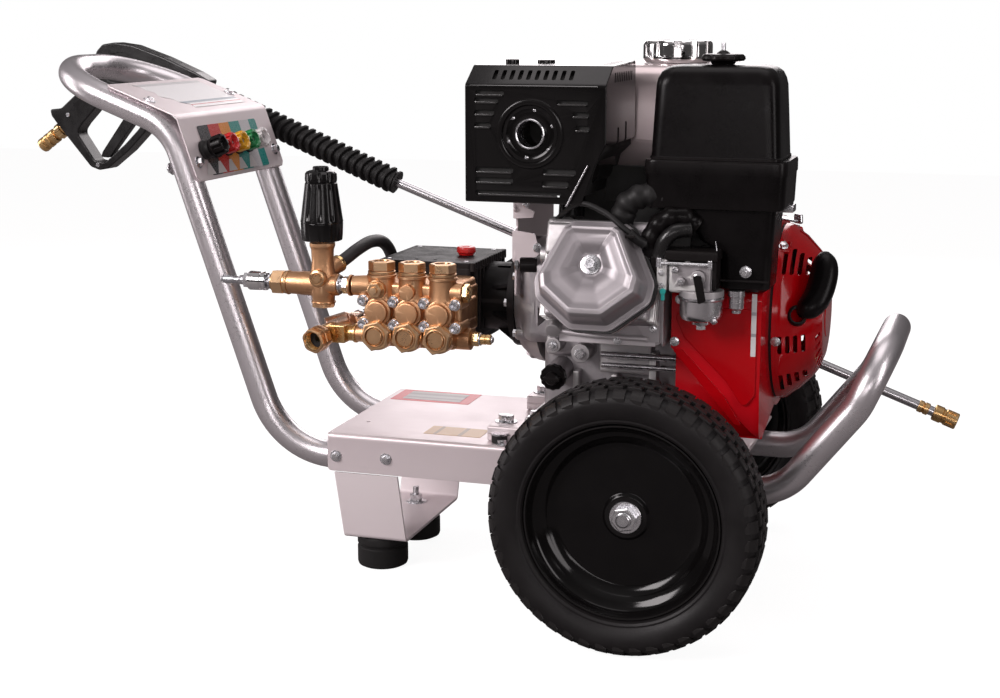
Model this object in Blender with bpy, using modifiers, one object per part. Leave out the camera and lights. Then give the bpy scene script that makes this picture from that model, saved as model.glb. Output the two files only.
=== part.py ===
"""Engine-driven pressure washer on a two-wheel cart, with its pump, gun and lance, for Blender 4.5.

Metres, +Z up. The cart's handle is at -X and its front loop at +X, and the engine's valve cover and the
pump's manifold face -Y. All places below are measured from the point on the floor under the middle of the
axle. One empty then moves the whole machine so that the world's origin is the bottom centre of its bounding
box."""

import math

import bmesh
import bpy
from mathutils import Matrix, Vector

# ---------------------------------------------------------------- driving dimensions
GAP = 0.0003            # clearance between two pieces that rest on each other
AXLE_X = 0.3524         # from the bounding box's centre to the axle

WHEEL_R = 0.165
WHEEL_W = 0.086
WHEEL_Y = 0.2696        # from the mid-plane to a wheel's centre
BEAD_R = 0.119          # where the tyre meets the rim
WHEEL_STEPS = 32
AXLE_Z = WHEEL_R
AXLE_R = 0.0095
NUT_END = 0.020         # from a wheel's centre to its nut's outer face

PLATE_LEFT, PLATE_RIGHT = -0.442, 0.114
PLATE_HALF, PLATE_TOP, PLATE_SKIRT, SHEET = 0.1395, 0.201, 0.149, 0.004

TUBE_R = 0.018          # the handle's and the loop's tube
TUBE_Y = 0.117          # its two arms, inside the plate's flanges

NOZZLE_MIDDLE, NOZZLE_PITCH = -0.028, 0.032

CRANK_Z = 0.375         # engine crankshaft and pump shaft
CYLINDER_X = -0.052
LEAN = math.radians(20)
BORE_AXIS = Vector((0, -math.cos(LEAN), math.sin(LEAN)))
BORE_UP = Vector((0, math.sin(LEAN), math.cos(LEAN)))
CRANK = Vector((0, 0, CRANK_Z))

ENGINE_LEFT, ENGINE_RIGHT = -0.2035, 0.0295
SHROUD_RIGHT = 0.1385

PUMP_X = -0.3095        # the middle plunger
PUMP_PITCH = 0.0415
PLUNGER_R = 0.009
THROW = 0.007           # half the plungers' stroke
MANIFOLD_BACK = -0.0803
MANIFOLD_FRONT = -0.176
MANIFOLD_LEFT, MANIFOLD_RIGHT = -0.374, -0.2475

UNLOADER = Vector((-0.429, -0.170, 0.408))

GUN_Y = 0.175           # the plane of the gun and the lance
GUN_HALF = 0.015
LANCE_TAIL = Vector((-0.750, GUN_Y, 0.6262))
LANCE_BEND = Vector((-0.455, GUN_Y, 0.5037))
LANCE_TIP = Vector((0.360, GUN_Y, 0.201))
LANCE_R = 0.0067
SOCKET = 0.018          # depth of the nozzle's seat in the coupler at the tip

# slot: colour, roughness, metallic
LOOKS = {
    "aluminium": ((0.72, 0.70, 0.70), 0.35, 1.0),
    "engine_aluminium": ((0.60, 0.60, 0.60), 0.45, 1.0),
    "tank_silver": ((0.66, 0.60, 0.60), 0.35, 0.6),
    "black_paint": ((0.02, 0.02, 0.02), 0.20, 0.0),
    "black_plastic": ((0.03, 0.03, 0.03), 0.45, 0.0),
    "pump_black": ((0.03, 0.03, 0.03), 0.50, 0.3),
    "rubber": ((0.02, 0.02, 0.02), 0.70, 0.0),
    "tyre": ((0.02, 0.02, 0.02), 0.80, 0.0),
    "hose": ((0.03, 0.03, 0.03), 0.60, 0.0),
    "brass": ((0.60, 0.42, 0.22), 0.35, 1.0),
    "zinc_steel": ((0.70, 0.70, 0.70), 0.30, 1.0),
    "chrome": ((0.85, 0.85, 0.85), 0.10, 1.0),
    "ceramic": ((0.85, 0.83, 0.78), 0.25, 0.0),
    "red_paint": ((0.45, 0.01, 0.02), 0.20, 0.0),
    "red_plastic": ((0.75, 0.03, 0.02), 0.35, 0.0),
    "yellow_plastic": ((0.85, 0.50, 0.02), 0.35, 0.0),
    "green_plastic": ((0.02, 0.35, 0.14), 0.35, 0.0),
    "white_plastic": ((0.80, 0.78, 0.78), 0.35, 0.0),
}


# ---------------------------------------------------------------- helpers
def clear_scene():
    for obj in list(bpy.data.objects):
        bpy.data.objects.remove(obj, do_unlink=True)


def collection(name):
    made = bpy.data.collections.new(name)
    bpy.context.scene.collection.children.link(made)
    return made


clear_scene()
PARTS = collection("pressure_washer")
HELPERS = collection("pressure_washer_cutters")
ROOT = bpy.data.objects.new("machine", None)
ROOT.location = (AXLE_X, 0, 0)
PARTS.objects.link(ROOT)


def new_object(data, name="helper"):
    """Every shape starts as a hidden helper; part() turns the ones that are nodes into visible parts."""
    obj = bpy.data.objects.new(name, data)
    HELPERS.objects.link(obj)
    obj.parent = ROOT
    obj.hide_render = True
    obj.display_type = "WIRE"
    return obj


def mesh_object(bm):
    mesh = bpy.data.meshes.new("helper")
    bm.to_mesh(mesh)
    bm.free()
    return new_object(mesh)


def point_along(obj, axis):
    """Turns an object's Z axis to an axis."""
    obj.rotation_mode = "QUATERNION"
    obj.rotation_quaternion = Vector((0, 0, 1)).rotation_difference(Vector(axis))


def bevel(obj, width, segments=2):
    made = obj.modifiers.new("bevel", "BEVEL")
    made.width = width
    made.segments = segments
    made.limit_method = "ANGLE"
    made.angle_limit = math.radians(30)
    return obj


def box(low, high, rounding=0.0, segments=2):
    low, high = Vector(low), Vector(high)
    bm = bmesh.new()
    bmesh.ops.create_cube(bm, size=1.0, matrix=Matrix.Diagonal((*(high - low), 1.0)))
    obj = mesh_object(bm)
    obj.location = (low + high) / 2
    return bevel(obj, rounding, segments) if rounding else obj


def cylinder(start, end, radius, end_radius=None, sides=20):
    start, end = Vector(start), Vector(end)
    bm = bmesh.new()
    bmesh.ops.create_cone(
        bm,
        cap_ends=True,
        segments=sides,
        radius1=radius,
        radius2=radius if end_radius is None else end_radius,
        depth=(end - start).length,
    )
    obj = mesh_object(bm)
    obj.location = (start + end) / 2
    point_along(obj, end - start)
    return obj


def turned(profile, base, axis, steps=24):
    """A profile of (radius, height) points swept about an axis. It runs from the top down its outer side;
    one that doesn't start on the axis is closed into a ring."""
    mesh = bpy.data.meshes.new("profile")
    edges = [(i, i + 1) for i in range(len(profile) - 1)]
    if profile[0][0] > 0:
        edges.append((len(profile) - 1, 0))
    mesh.from_pydata([(r, 0, h) for r, h in profile], edges, [])
    obj = new_object(mesh)
    obj.location = base
    point_along(obj, axis)
    screw = obj.modifiers.new("turn", "SCREW")
    screw.steps = steps
    screw.render_steps = steps
    screw.use_merge_vertices = True
    screw.merge_threshold = 0.00001
    return obj


def curve_object(points, dimensions="3D", cyclic=False):
    curve = bpy.data.curves.new("helper", "CURVE")
    curve.dimensions = dimensions
    spline = curve.splines.new("POLY")
    spline.points.add(len(points) - 1)
    for target, point in zip(spline.points, points):
        target.co = (*point, *([0] * (3 - len(point))), 1)
    spline.use_cyclic_u = cyclic
    return new_object(curve)


def tube(points, radius, resolution=2):
    obj = curve_object(points)
    obj.data.bevel_depth = radius
    obj.data.bevel_resolution = resolution
    obj.data.use_fill_caps = True
    return obj


def plate(outline, thickness, origin, right, up, holes=()):
    """A flat outline in the plane of two axes, of half the thickness on each side of the origin."""
    obj = curve_object(outline, "2D", cyclic=True)
    for hole in holes:
        spline = obj.data.splines.new("POLY")
        spline.points.add(len(hole) - 1)
        for target, point in zip(spline.points, hole):
            target.co = (*point, 0, 1)
        spline.use_cyclic_u = True
    obj.data.fill_mode = "BOTH"
    obj.data.extrude = thickness / 2
    right, up = Vector(right), Vector(up)
    turn = Matrix((right, up, right.cross(up))).transposed()
    obj.rotation_euler = turn.to_euler()
    obj.location = origin
    return obj


def side_plate(outline, left, right):
    """An outline of (y, z) points drawn out along X."""
    return plate(outline, right - left, ((left + right) / 2, 0, 0), (0, 1, 0), (0, 0, 1))


def front_plate(outline, near, far, holes=()):
    """An outline of (x, z) points drawn out along Y."""
    return plate(outline, far - near, (0, (near + far) / 2, 0), (1, 0, 0), (0, 0, 1), holes)


def as_mesh(obj):
    """A curve made a mesh, with its caps welded on, so that it can be cut or joined."""
    if obj.type == "MESH":
        return obj
    bpy.context.view_layer.update()
    evaluated = obj.evaluated_get(bpy.context.evaluated_depsgraph_get())
    mesh = bpy.data.meshes.new_from_object(evaluated)
    bm = bmesh.new()
    bm.from_mesh(mesh)
    bmesh.ops.remove_doubles(bm, verts=bm.verts, dist=0.00001)
    bm.to_mesh(mesh)
    bm.free()
    made = new_object(mesh)
    made.matrix_world = obj.matrix_world
    bpy.data.objects.remove(obj, do_unlink=True)
    return made


def combine(base, add=(), cut=()):
    base = as_mesh(base)
    for operation, others in (("UNION", add), ("DIFFERENCE", cut)):
        for other in others:
            made = base.modifiers.new(operation.lower(), "BOOLEAN")
            made.operation = operation
            made.object = as_mesh(other)
    return base


def part(name, look, base, add=(), cut=(), pivot=None):
    """Makes a shape a visible node, hung from its joint's pivot if it moves."""
    obj = combine(base, add, cut) if add or cut else base
    obj.name = name
    obj.data.name = name
    HELPERS.objects.unlink(obj)
    PARTS.objects.link(obj)
    obj.hide_render = False
    obj.display_type = "TEXTURED"
    if pivot:
        bpy.context.view_layer.update()
        place = obj.matrix_world.copy()
        obj.parent = pivot
        obj.matrix_world = place
    if obj.type == "MESH":
        obj.data.shade_smooth()
        if obj.data.polygons:
            obj.data.set_sharp_from_angle(angle=math.radians(35))
    colour, roughness, metallic = LOOKS[look]
    material = bpy.data.materials.new(name)
    material.use_nodes = True
    shader = material.node_tree.nodes["Principled BSDF"]
    shader.inputs["Base Color"].default_value = (*colour, 1)
    shader.inputs["Roughness"].default_value = roughness
    shader.inputs["Metallic"].default_value = metallic
    obj.data.materials.append(material)
    return obj


def pivot(name, place):
    """An empty on a joint's axis."""
    empty = bpy.data.objects.new(name, None)
    PARTS.objects.link(empty)
    empty.parent = ROOT
    empty.location = place
    bpy.context.view_layer.update()
    return empty


def mirrored(points):
    """The same points on the other side of the mid-plane, in reverse order."""
    return [(x, -y, z) for x, y, z in reversed(points)]


def rounded_path(corners, radii, step=math.radians(15)):
    """Straight runs between corners, each inner corner replaced by an arc of its radius."""
    corners = [Vector(c) for c in corners]
    path = [corners[0]]
    for before, corner, after, radius in zip(corners, corners[1:], corners[2:], radii):
        back = (before - corner).normalized()
        ahead = (after - corner).normalized()
        bend = math.pi - back.angle(ahead)
        reach = radius * math.tan(bend / 2)
        centre = corner + (back + ahead).normalized() * radius / math.cos(bend / 2)
        start = corner + back * reach - centre
        end = corner + ahead * reach - centre
        count = max(2, round(bend / step))
        for i in range(count + 1):
            share = i / count
            path.append(
                centre
                + (start * math.sin((1 - share) * bend) + end * math.sin(share * bend)) / math.sin(bend)
            )
    path.append(corners[-1])
    return path


def smooth_path(points, per_span=3):
    """A smooth curve through every point of a route."""
    points = [Vector(p) for p in points]
    ends = [2 * points[0] - points[1], *points, 2 * points[-1] - points[-2]]
    path = []
    for a, b, c, d in zip(ends, ends[1:], ends[2:], ends[3:]):
        for i in range(per_span):
            t = i / per_span
            bend = (2 * a - 5 * b + 4 * c - d) * t**2 + (3 * b - a - 3 * c + d) * t**3
            path.append((2 * b + (c - a) * t + bend) / 2)
    path.append(points[-1])
    return path


# ---------------------------------------------------------------- wheels, axle and feet
def make_wheel(side, name):
    """A solid tyre on a dished rim. Heights in the profiles run outwards from the wheel's centre plane."""
    out = Vector((0, side, 0))
    centre = Vector((0, side * WHEEL_Y, AXLE_Z))
    wheel = pivot(f"wheel_{name}_axis", centre)
    half = WHEEL_W / 2
    tyre = [(BEAD_R, 0.029), (0.128, 0.040), (0.142, half), (0.155, 0.041), (WHEEL_R, 0.031)]
    tyre += [(r, -h) for r, h in reversed(tyre)]
    part(f"tyre_{name}", "tyre", turned(tyre, centre, out, WHEEL_STEPS), pivot=wheel)
    rim_r = BEAD_R - GAP
    bore = AXLE_R + GAP
    rim = [
        (rim_r, 0.030),
        (rim_r, -0.030),
        (0.115, -0.030),
        (0.108, -0.010),
        (0.090, -0.004),
        (0.022, -0.004),
        (0.020, -0.048),
        (bore, -0.048),
        (bore, 0.003),
        (0.026, 0.003),
        (0.030, 0.000),
        (0.088, 0.000),
        (0.097, 0.008),
        (0.112, 0.022),
        (0.115, 0.030),
    ]
    part(f"rim_{name}", "black_paint", turned(rim, centre, out, WHEEL_STEPS), pivot=wheel)
    seat = centre + out * (0.003 + GAP)
    end = centre + out * NUT_END
    part(
        f"axle_nut_{name}",
        "zinc_steel",
        cylinder(seat, seat + out * 0.003, 0.0195, sides=24),
        add=[cylinder(seat + out * 0.002, end - out * 0.003, 0.0155, sides=6)],
        cut=[cylinder(centre - out * 0.01, end + out * 0.01, bore, sides=16)],
    )
    return end


def make_running_gear():
    far_end = make_wheel(1, "far")
    near_end = make_wheel(-1, "near")
    part("axle", "zinc_steel", cylinder(near_end, far_end, AXLE_R, sides=16))


def make_foot_bracket():
    """A folded trough under the plate, open towards both ends, with a rubber foot under each side."""
    left, right = -0.434, -0.343
    top, bottom = 0.1467, 0.046
    wide, narrow = 0.137, 0.107
    outer = [(-wide, top), (-narrow, bottom), (narrow, bottom), (wide, top)]
    inner = [(narrow - SHEET, bottom + SHEET), (-narrow + SHEET, bottom + SHEET)]
    inner = [(wide - SHEET, top), *inner, (-wide + SHEET, top)]
    part("foot_bracket", "aluminium", side_plate(outer + inner, left, right))
    for name, y in (("near", -0.066), ("far", 0.066)):
        top = bottom - GAP
        foot = [(0, top), (0.032, top), (0.035, 0.036), (0.035, 0.003), (0.032, 0), (0, 0)]
        part(f"foot_{name}", "rubber", turned(foot, ((left + right) / 2 - 0.005, y, 0), (0, 0, 1), 24))


# ---------------------------------------------------------------- frame
def make_base_plate():
    """A folded channel: its flanges carry the axle and end in a slant under the front loop."""
    slant = 0.031
    outline = [
        (PLATE_LEFT, PLATE_SKIRT),
        (PLATE_LEFT, PLATE_TOP),
        (PLATE_RIGHT, PLATE_TOP),
        (PLATE_RIGHT - slant, PLATE_SKIRT),
    ]
    inner_half = PLATE_HALF - SHEET
    part(
        "base_plate",
        "aluminium",
        front_plate(outline, -PLATE_HALF, PLATE_HALF),
        cut=[
            box((PLATE_LEFT - 0.1, -inner_half, 0), (PLATE_RIGHT + 0.1, inner_half, PLATE_TOP - SHEET)),
            cylinder((0, -0.2, AXLE_Z), (0, 0.2, AXLE_Z), AXLE_R + GAP, sides=16),
        ],
    )


HANDLE_FOOT = Vector((-0.385, 0, 0.165))
HANDLE_HEEL = Vector((-0.5195, 0, 0.165))
HANDLE_KNEE = Vector((-0.6683, 0, 0.602))
HANDLE_END = Vector((-0.862, 0, 0.676))
ARM = Vector((0, -TUBE_Y, 0))
STEEP = (HANDLE_KNEE - HANDLE_HEEL).normalized()
SHALLOW = (HANDLE_END - HANDLE_KNEE).normalized()
STEEP_OUT = Vector((STEEP.z, 0, -STEEP.x))
SHALLOW_OUT = Vector((SHALLOW.z, 0, -SHALLOW.x))


def make_handle_frame():
    """One bent tube, with a peg on its far arm that the gun lies against."""
    near = [HANDLE_FOOT + ARM, HANDLE_HEEL + ARM, HANDLE_KNEE + ARM, HANDLE_END + ARM]
    path = rounded_path(near + mirrored(near), [0.108, 0.08, 0.10, 0.10, 0.08, 0.108])
    peg = HANDLE_KNEE + SHALLOW * 0.14 - ARM
    peg_end = Vector((peg.x, GUN_Y - GUN_HALF - GAP, peg.z))
    part("handle_frame", "aluminium", tube(path, TUBE_R, 3), add=[cylinder(peg, peg_end, 0.007, sides=12)])


def make_front_loop():
    """One bent tube, with a cradle on its far arm that holds the lance."""
    near = [(0.05, -TUBE_Y, 0.165), (0.1604, -TUBE_Y, 0.165)]
    near += [(0.250, -TUBE_Y, 0.2795), (0.281, -TUBE_Y, 0.350)]
    path = rounded_path(near + mirrored(near), [0.072, 0.10, 0.07, 0.07, 0.10, 0.072])
    slope = (LANCE_TIP - LANCE_BEND).normalized()
    seat = LANCE_BEND + slope * ((0.236 - LANCE_BEND.x) / slope.x)
    low = seat.z - LANCE_R
    cradle = box((0.224, TUBE_Y, low - 0.012), (0.248, GUN_Y + 0.016, low - 0.0055))
    lip = box((0.224, GUN_Y + 0.012, low - 0.010), (0.248, GUN_Y + 0.016, low + 0.006))
    part("front_loop", "aluminium", tube(path, TUBE_R, 3), add=[cradle, lip])


def make_control_panel():
    """A sheet folded once, lying on both arms of the handle."""
    half, thickness = 0.134, 0.002
    low_run, high_run = 0.0914, 0.1124

    def corner(offset):
        return HANDLE_KNEE + (STEEP_OUT + SHALLOW_OUT) * offset / (1 + STEEP_OUT.dot(SHALLOW_OUT))

    under, over = corner(TUBE_R + GAP), corner(TUBE_R + GAP + thickness)
    points = [
        under - STEEP * low_run,
        under,
        under + SHALLOW * high_run,
        over + SHALLOW * high_run,
        over,
        over - STEEP * low_run,
    ]
    part("control_panel", "aluminium", front_plate([(p.x, p.z) for p in points], -half, half))
    face = over - STEEP * 0.051 + STEEP_OUT * GAP
    colours = ("black", "red", "yellow", "green", "white")
    for i, colour in enumerate(colours):
        base = face + Vector((0, NOZZLE_MIDDLE + (i - 2) * NOZZLE_PITCH, 0))
        nozzle = [(0, 0.034), (0.0060, 0.034), (0.0065, 0.032), (0.0135, 0.030), (0.0135, 0.016)]
        nozzle += [(0.0115, 0.014), (0.0115, 0), (0, 0)]
        look = "black_plastic" if colour == "black" else f"{colour}_plastic"
        part(f"nozzle_{colour}", look, turned(nozzle, base, STEEP_OUT, 16))


def make_engine_rails():
    """The two bearers between the plate and the engine's foot."""
    for name, low, high in (("near", -0.118, -0.062), ("far", 0.062, 0.118)):
        part(
            f"engine_rail_{name}",
            "aluminium",
            box((-0.224, low, PLATE_TOP + GAP), (0.055, high, 0.222), 0.004, 1),
        )


# ---------------------------------------------------------------- engine
def bore_block(start, end, half_wide, half_thick, rounding=0.0):
    """A block along the cylinder's axis, from one distance to another from the crankshaft."""
    obj = box((-half_wide, -half_thick, start), (half_wide, half_thick, end), rounding)
    turn = Matrix((Vector((1, 0, 0)), BORE_UP, BORE_AXIS)).transposed()
    if turn.determinant() < 0:
        turn = Matrix((Vector((-1, 0, 0)), BORE_UP, BORE_AXIS)).transposed()
    middle = (start + end) / 2
    obj.location = CRANK + Vector((CYLINDER_X, 0, 0)) + BORE_AXIS * middle
    obj.rotation_euler = turn.to_euler()
    return obj


def along_crank(start, end, radius, sides=24):
    return cylinder((start, 0, CRANK_Z), (end, 0, CRANK_Z), radius, sides=sides)


CYLINDER_TOP = 0.170
HEAD_TOP = 0.228
COVER_TOP = 0.270
JOURNAL_R = 0.0175


def make_crankcase():
    """The cast case with its cylinder, foot, shaft flange and the sheet brackets that carry the tank."""
    foot_z = 0.222 + GAP
    bracket_top = 0.5515
    part(
        "crankcase",
        "engine_aluminium",
        box((-0.190, -0.085, 0.328), (ENGINE_RIGHT, 0.095, 0.440), 0.014),
        add=[
            box((-0.158, -0.085, foot_z + 0.004), (ENGINE_RIGHT, 0.095, 0.400), 0.014),
            box((-0.175, -0.114, foot_z), (0.020, 0.114, 0.238)),
            along_crank(ENGINE_LEFT, -0.180, 0.070),
            bore_block(0.055, CYLINDER_TOP, 0.058, 0.057),
            box((-0.197, -0.070, 0.395), (-0.1885, 0.085, bracket_top)),
            box((0.015, -0.060, 0.425), (0.019, 0.085, bracket_top)),
        ],
        cut=[
            box((-0.174, -0.070, 0.344), (0.014, 0.080, 0.430)),
            box((-0.142, -0.070, 0.242), (0.014, 0.080, 0.390)),
            along_crank(ENGINE_LEFT - 0.02, ENGINE_RIGHT + 0.02, JOURNAL_R + GAP),
            cylinder(
                CRANK + Vector((CYLINDER_X, 0, 0)),
                CRANK + Vector((CYLINDER_X, 0, 0)) + BORE_AXIS * (CYLINDER_TOP + 0.01),
                0.044,
                sides=24,
            ),
        ],
    )


def make_cylinder_head():
    part("cylinder_head", "engine_aluminium", bore_block(CYLINDER_TOP + GAP, HEAD_TOP, 0.064, 0.060, 0.006))
    outline = [(-0.027, 0.053), (0.027, 0.053), (0.044, 0.042), (0.070, -0.027), (0.064, -0.047)]
    outline += [(0.0275, -0.075), (-0.0275, -0.075), (-0.064, -0.047), (-0.070, -0.027), (-0.044, 0.042)]
    start = HEAD_TOP + GAP
    middle = CRANK + Vector((CYLINDER_X - 0.002, 0, 0)) + BORE_AXIS * (start + COVER_TOP) / 2
    cover = as_mesh(plate(outline, COVER_TOP - start, middle, (1, 0, 0), BORE_UP))
    part("valve_cover", "engine_aluminium", bevel(cover, 0.006, 1))


def make_crankshaft():
    """One throw between two webs, with the pump end at -X and the flywheel's seat at +X."""
    throw = 0.032
    part(
        "crankshaft",
        "zinc_steel",
        along_crank(-0.262, 0.100, 0.0127, 20),
        add=[
            along_crank(-0.2032, -0.090, JOURNAL_R, 20),
            along_crank(-0.018, 0.036, JOURNAL_R, 20),
            along_crank(-0.098, -0.078, 0.051, 20),
            along_crank(-0.030, -0.010, 0.051, 20),
            cylinder((-0.085, 0, CRANK_Z + throw), (-0.025, 0, CRANK_Z + throw), 0.018, sides=16),
        ],
        cut=[box((-0.077, -0.015, CRANK_Z - 0.0145), (-0.031, 0.015, CRANK_Z + 0.013))],
        pivot=CRANK_PIVOT,
    )
    bore = 0.0127 + GAP
    wheel = [(bore, 0.082), (0.030, 0.082), (0.034, 0.064), (0.098, 0.072), (0.100, 0.068), (0.100, 0.042)]
    wheel += [(0.085, 0.042), (0.080, 0.054), (0.030, 0.054), (0.026, 0.040), (bore, 0.040)]
    part("flywheel", "engine_aluminium", turned(wheel, CRANK, (1, 0, 0), 24), pivot=CRANK_PIVOT)


def shroud_form(inset, left, right):
    """The drum round the flywheel with its duct to the cylinder, its lower corner sliced off."""
    drum = along_crank(left, right, 0.122 - inset, 36)
    duct = box((left, -0.172 + inset, 0.234 + inset), (right, -0.03, 0.424 - inset), 0.008, 1)
    slope = math.radians(45.5)
    slice_away = box((-0.30, -0.30, -0.20), (0.30, 0.0, 0.0))
    slice_away.rotation_euler = (0, slope, 0)
    inward = Vector((math.sin(slope), 0, math.cos(slope)))
    slice_away.location = Vector((0.080, -0.140, 0.302)) + inward * inset
    return combine(duct, cut=[slice_away]), drum


def make_blower():
    """The red housing, the dome that covers its front and the grip of its starter."""
    wall = 0.003
    outer_duct, outer_drum = shroud_form(0, ENGINE_RIGHT + GAP, SHROUD_RIGHT)
    inner_duct, inner_drum = shroud_form(wall, ENGINE_RIGHT - 0.02, SHROUD_RIGHT - wall)
    part(
        "fan_shroud",
        "red_paint",
        outer_drum,
        add=[outer_duct],
        cut=[inner_drum, inner_duct, along_crank(0.1, 0.2, 0.100, 32)],
    )
    back = SHROUD_RIGHT + GAP
    dome = [(0, 0.198), (0.055, 0.198), (0.074, 0.190), (0.100, 0.166), (0.111, 0.152), (0.1125, back)]
    inside = [(0.1095, back), (0.108, 0.150), (0.098, 0.164), (0.073, 0.187), (0.054, 0.195), (0, 0.195)]
    part("recoil_cover", "red_paint", turned(dome + inside, CRANK, (1, 0, 0), 28))
    grip = [(0.181, -0.108, 0.397), (0.197, -0.092, 0.412), (0.205, -0.076, 0.434), (0.203, -0.064, 0.458)]
    part("recoil_grip", "black_plastic", tube(smooth_path(grip, 2), 0.0160, 3))


def make_exhaust():
    """The silencer inside its sheet guard, which is open below and behind."""
    left, right = -0.220, -0.045
    outlet = Vector((-0.138, 0, 0.610))
    part(
        "muffler",
        "black_paint",
        box((-0.205, -0.196, 0.545), (-0.062, -0.075, 0.655), 0.02, 2),
        add=[
            cylinder((-0.100, -0.160, 0.507), (-0.100, -0.150, 0.560), 0.016),
            cylinder((outlet.x, -0.214, outlet.z), (outlet.x, -0.150, outlet.z), 0.0175),
        ],
        cut=[
            box((-0.202, -0.193, 0.548), (-0.065, -0.078, 0.652), 0.018, 2),
            cylinder((outlet.x, -0.230, outlet.z), (outlet.x, -0.185, outlet.z), 0.0155),
        ],
    )
    wall = 0.0018
    front, back, low, high = -0.212, -0.060, 0.527, 0.690
    outline = [(front, low), (front, 0.668), (front + 0.034, high), (back, high + 0.004), (back, low)]
    inner = [(front + wall, low - 0.02), (front + wall, 0.667), (front + 0.035, high - wall)]
    inner += [(back + 0.02, high + 0.004 - wall), (back + 0.02, low - 0.02)]
    part(
        "muffler_guard",
        "black_paint",
        side_plate(outline, left, right),
        cut=[
            side_plate(inner, left + wall, right - wall),
            cylinder((outlet.x, -0.230, outlet.z), (outlet.x, -0.205, outlet.z), 0.0190),
        ],
    )


def make_fuel_tank():
    low, high = Vector((-0.140, -0.055, 0.552)), Vector((0.104, 0.150, 0.6885))
    wall = Vector((0.003, 0.003, 0.003))
    place = Vector((-0.010, 0.030, high.z + GAP))
    part(
        "fuel_tank",
        "tank_silver",
        box(low, high, 0.028, 3),
        cut=[
            box(low + wall, high - wall, 0.025, 2),
            cylinder((place.x, place.y, high.z - 0.02), (place.x, place.y, high.z + 0.02), 0.030),
        ],
    )
    cap = [(0, 0.0285), (0.040, 0.0285), (0.045, 0.024), (0.045, 0.004), (0.041, 0), (0, 0)]
    part("fuel_cap", "chrome", turned(cap, place, (0, 0, 1), 24), pivot=pivot("fuel_cap_axis", place))


def make_air_cleaner():
    case_top = 0.583
    part(
        "air_cleaner_case",
        "black_plastic",
        box((-0.002, -0.205, 0.525), (0.167, -0.090, case_top), 0.008, 2),
        add=[
            box((0.052, -0.193, 0.474), (0.154, -0.110, 0.532), 0.008, 1),
            box((0.088, -0.190, 0.430), (0.1495, -0.113, 0.486), 0.006, 1),
        ],
    )
    part(
        "air_cleaner_cover",
        "black_plastic",
        box((0.004, -0.203, case_top + GAP), (0.159, -0.094, 0.692), 0.018, 3),
        cut=[box((0.007, -0.200, case_top - 0.02), (0.156, -0.097, 0.689), 0.015, 2)],
    )
    place = Vector((0.081, -0.150, 0.692 + GAP))
    knob = [(0, 0.026), (0.003, 0.026), (0.003, 0.017), (0.024, 0.016), (0.027, 0.010), (0.024, 0.006)]
    knob += [(0.014, 0.004), (0.014, 0), (0, 0)]
    part(
        "air_cleaner_knob",
        "black_plastic",
        turned(knob, place, (0, 0, 1), 18),
        pivot=pivot("air_cleaner_knob_axis", place),
    )


def make_carburettor():
    part(
        "carburettor",
        "engine_aluminium",
        box((0.020, -0.226, 0.424), (0.0860, -0.174, 0.468), 0.004, 1),
        add=[
            cylinder((0.071, -0.2005, 0.393), (0.071, -0.2005, 0.4285), 0.0275, sides=24),
            cylinder((0.071, -0.2005, 0.382), (0.071, -0.2005, 0.394), 0.009, sides=12),
        ],
    )


def make_controls():
    """The throttle lever over the blower and the choke lever on the carburettor."""
    place = Vector((0.118, -0.020, 0.5005))
    arm = [(-0.008, -0.004), (0.004, 0.008), (0.052, -0.048), (0.043, -0.057)]
    lever = plate(arm, 0.003, place, (1, 0, 0), (0, 1, 0))
    part(
        "throttle_lever",
        "zinc_steel",
        lever,
        add=[cylinder(place - Vector((0, 0, 0.0032)), place + Vector((0, 0, 0.004)), 0.007, sides=12)],
        pivot=pivot("throttle_lever_axis", place),
    )
    place = Vector((0.071, -0.2315, 0.448))
    arm = [(-0.005, 0.004), (0.005, 0.004), (0.011, -0.026), (0.002, -0.030)]
    part(
        "choke_lever",
        "black_plastic",
        plate(arm, 0.004, place, (1, 0, 0), (0, 0, 1)),
        pivot=pivot("choke_lever_axis", place),
    )


# ---------------------------------------------------------------- pump
def plunger_x(i):
    return PUMP_X + (i - 1) * PUMP_PITCH


SHAFT_R = 0.020
CASE_CAVITY_R = 0.034
CASE_TOP = 0.430


def plunger_bores(front, back):
    return [
        cylinder((plunger_x(i), front, CRANK_Z), (plunger_x(i), back, CRANK_Z), PLUNGER_R + GAP, sides=16)
        for i in range(3)
    ]


def make_pump_crankcase():
    """The finned case, hollow round the shaft, with the plungers' bores and the bell on the engine."""
    front = MANIFOLD_BACK + GAP
    fins = []
    for i in range(6):
        near = front + 0.012 + i * 0.018
        fins.append(box((-0.262, near, 0.345), (-0.2525, near + 0.006, 0.426)))
    part(
        "pump_crankcase",
        "pump_black",
        box((-0.388, front, 0.322), (-0.2575, 0.062, CASE_TOP), 0.005, 1),
        add=[along_crank(-0.263, ENGINE_LEFT - GAP, 0.046), *fins],
        cut=[
            along_crank(-0.374, -0.2585, CASE_CAVITY_R),
            along_crank(-0.262, -0.190, SHAFT_R + GAP),
            *plunger_bores(-0.100, -0.020),
        ],
    )
    place = Vector((-0.288, -0.010, CASE_TOP + GAP))
    cap = cylinder(place, place + Vector((0, 0, 0.005)), 0.009, sides=16)
    head = cylinder(place + Vector((0, 0, 0.004)), place + Vector((0, 0, 0.0120)), 0.0135, 0.0125, sides=12)
    part(
        "pump_oil_cap",
        "red_plastic",
        cap,
        add=[head],
        pivot=pivot("pump_oil_cap_axis", place),
    )


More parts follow.
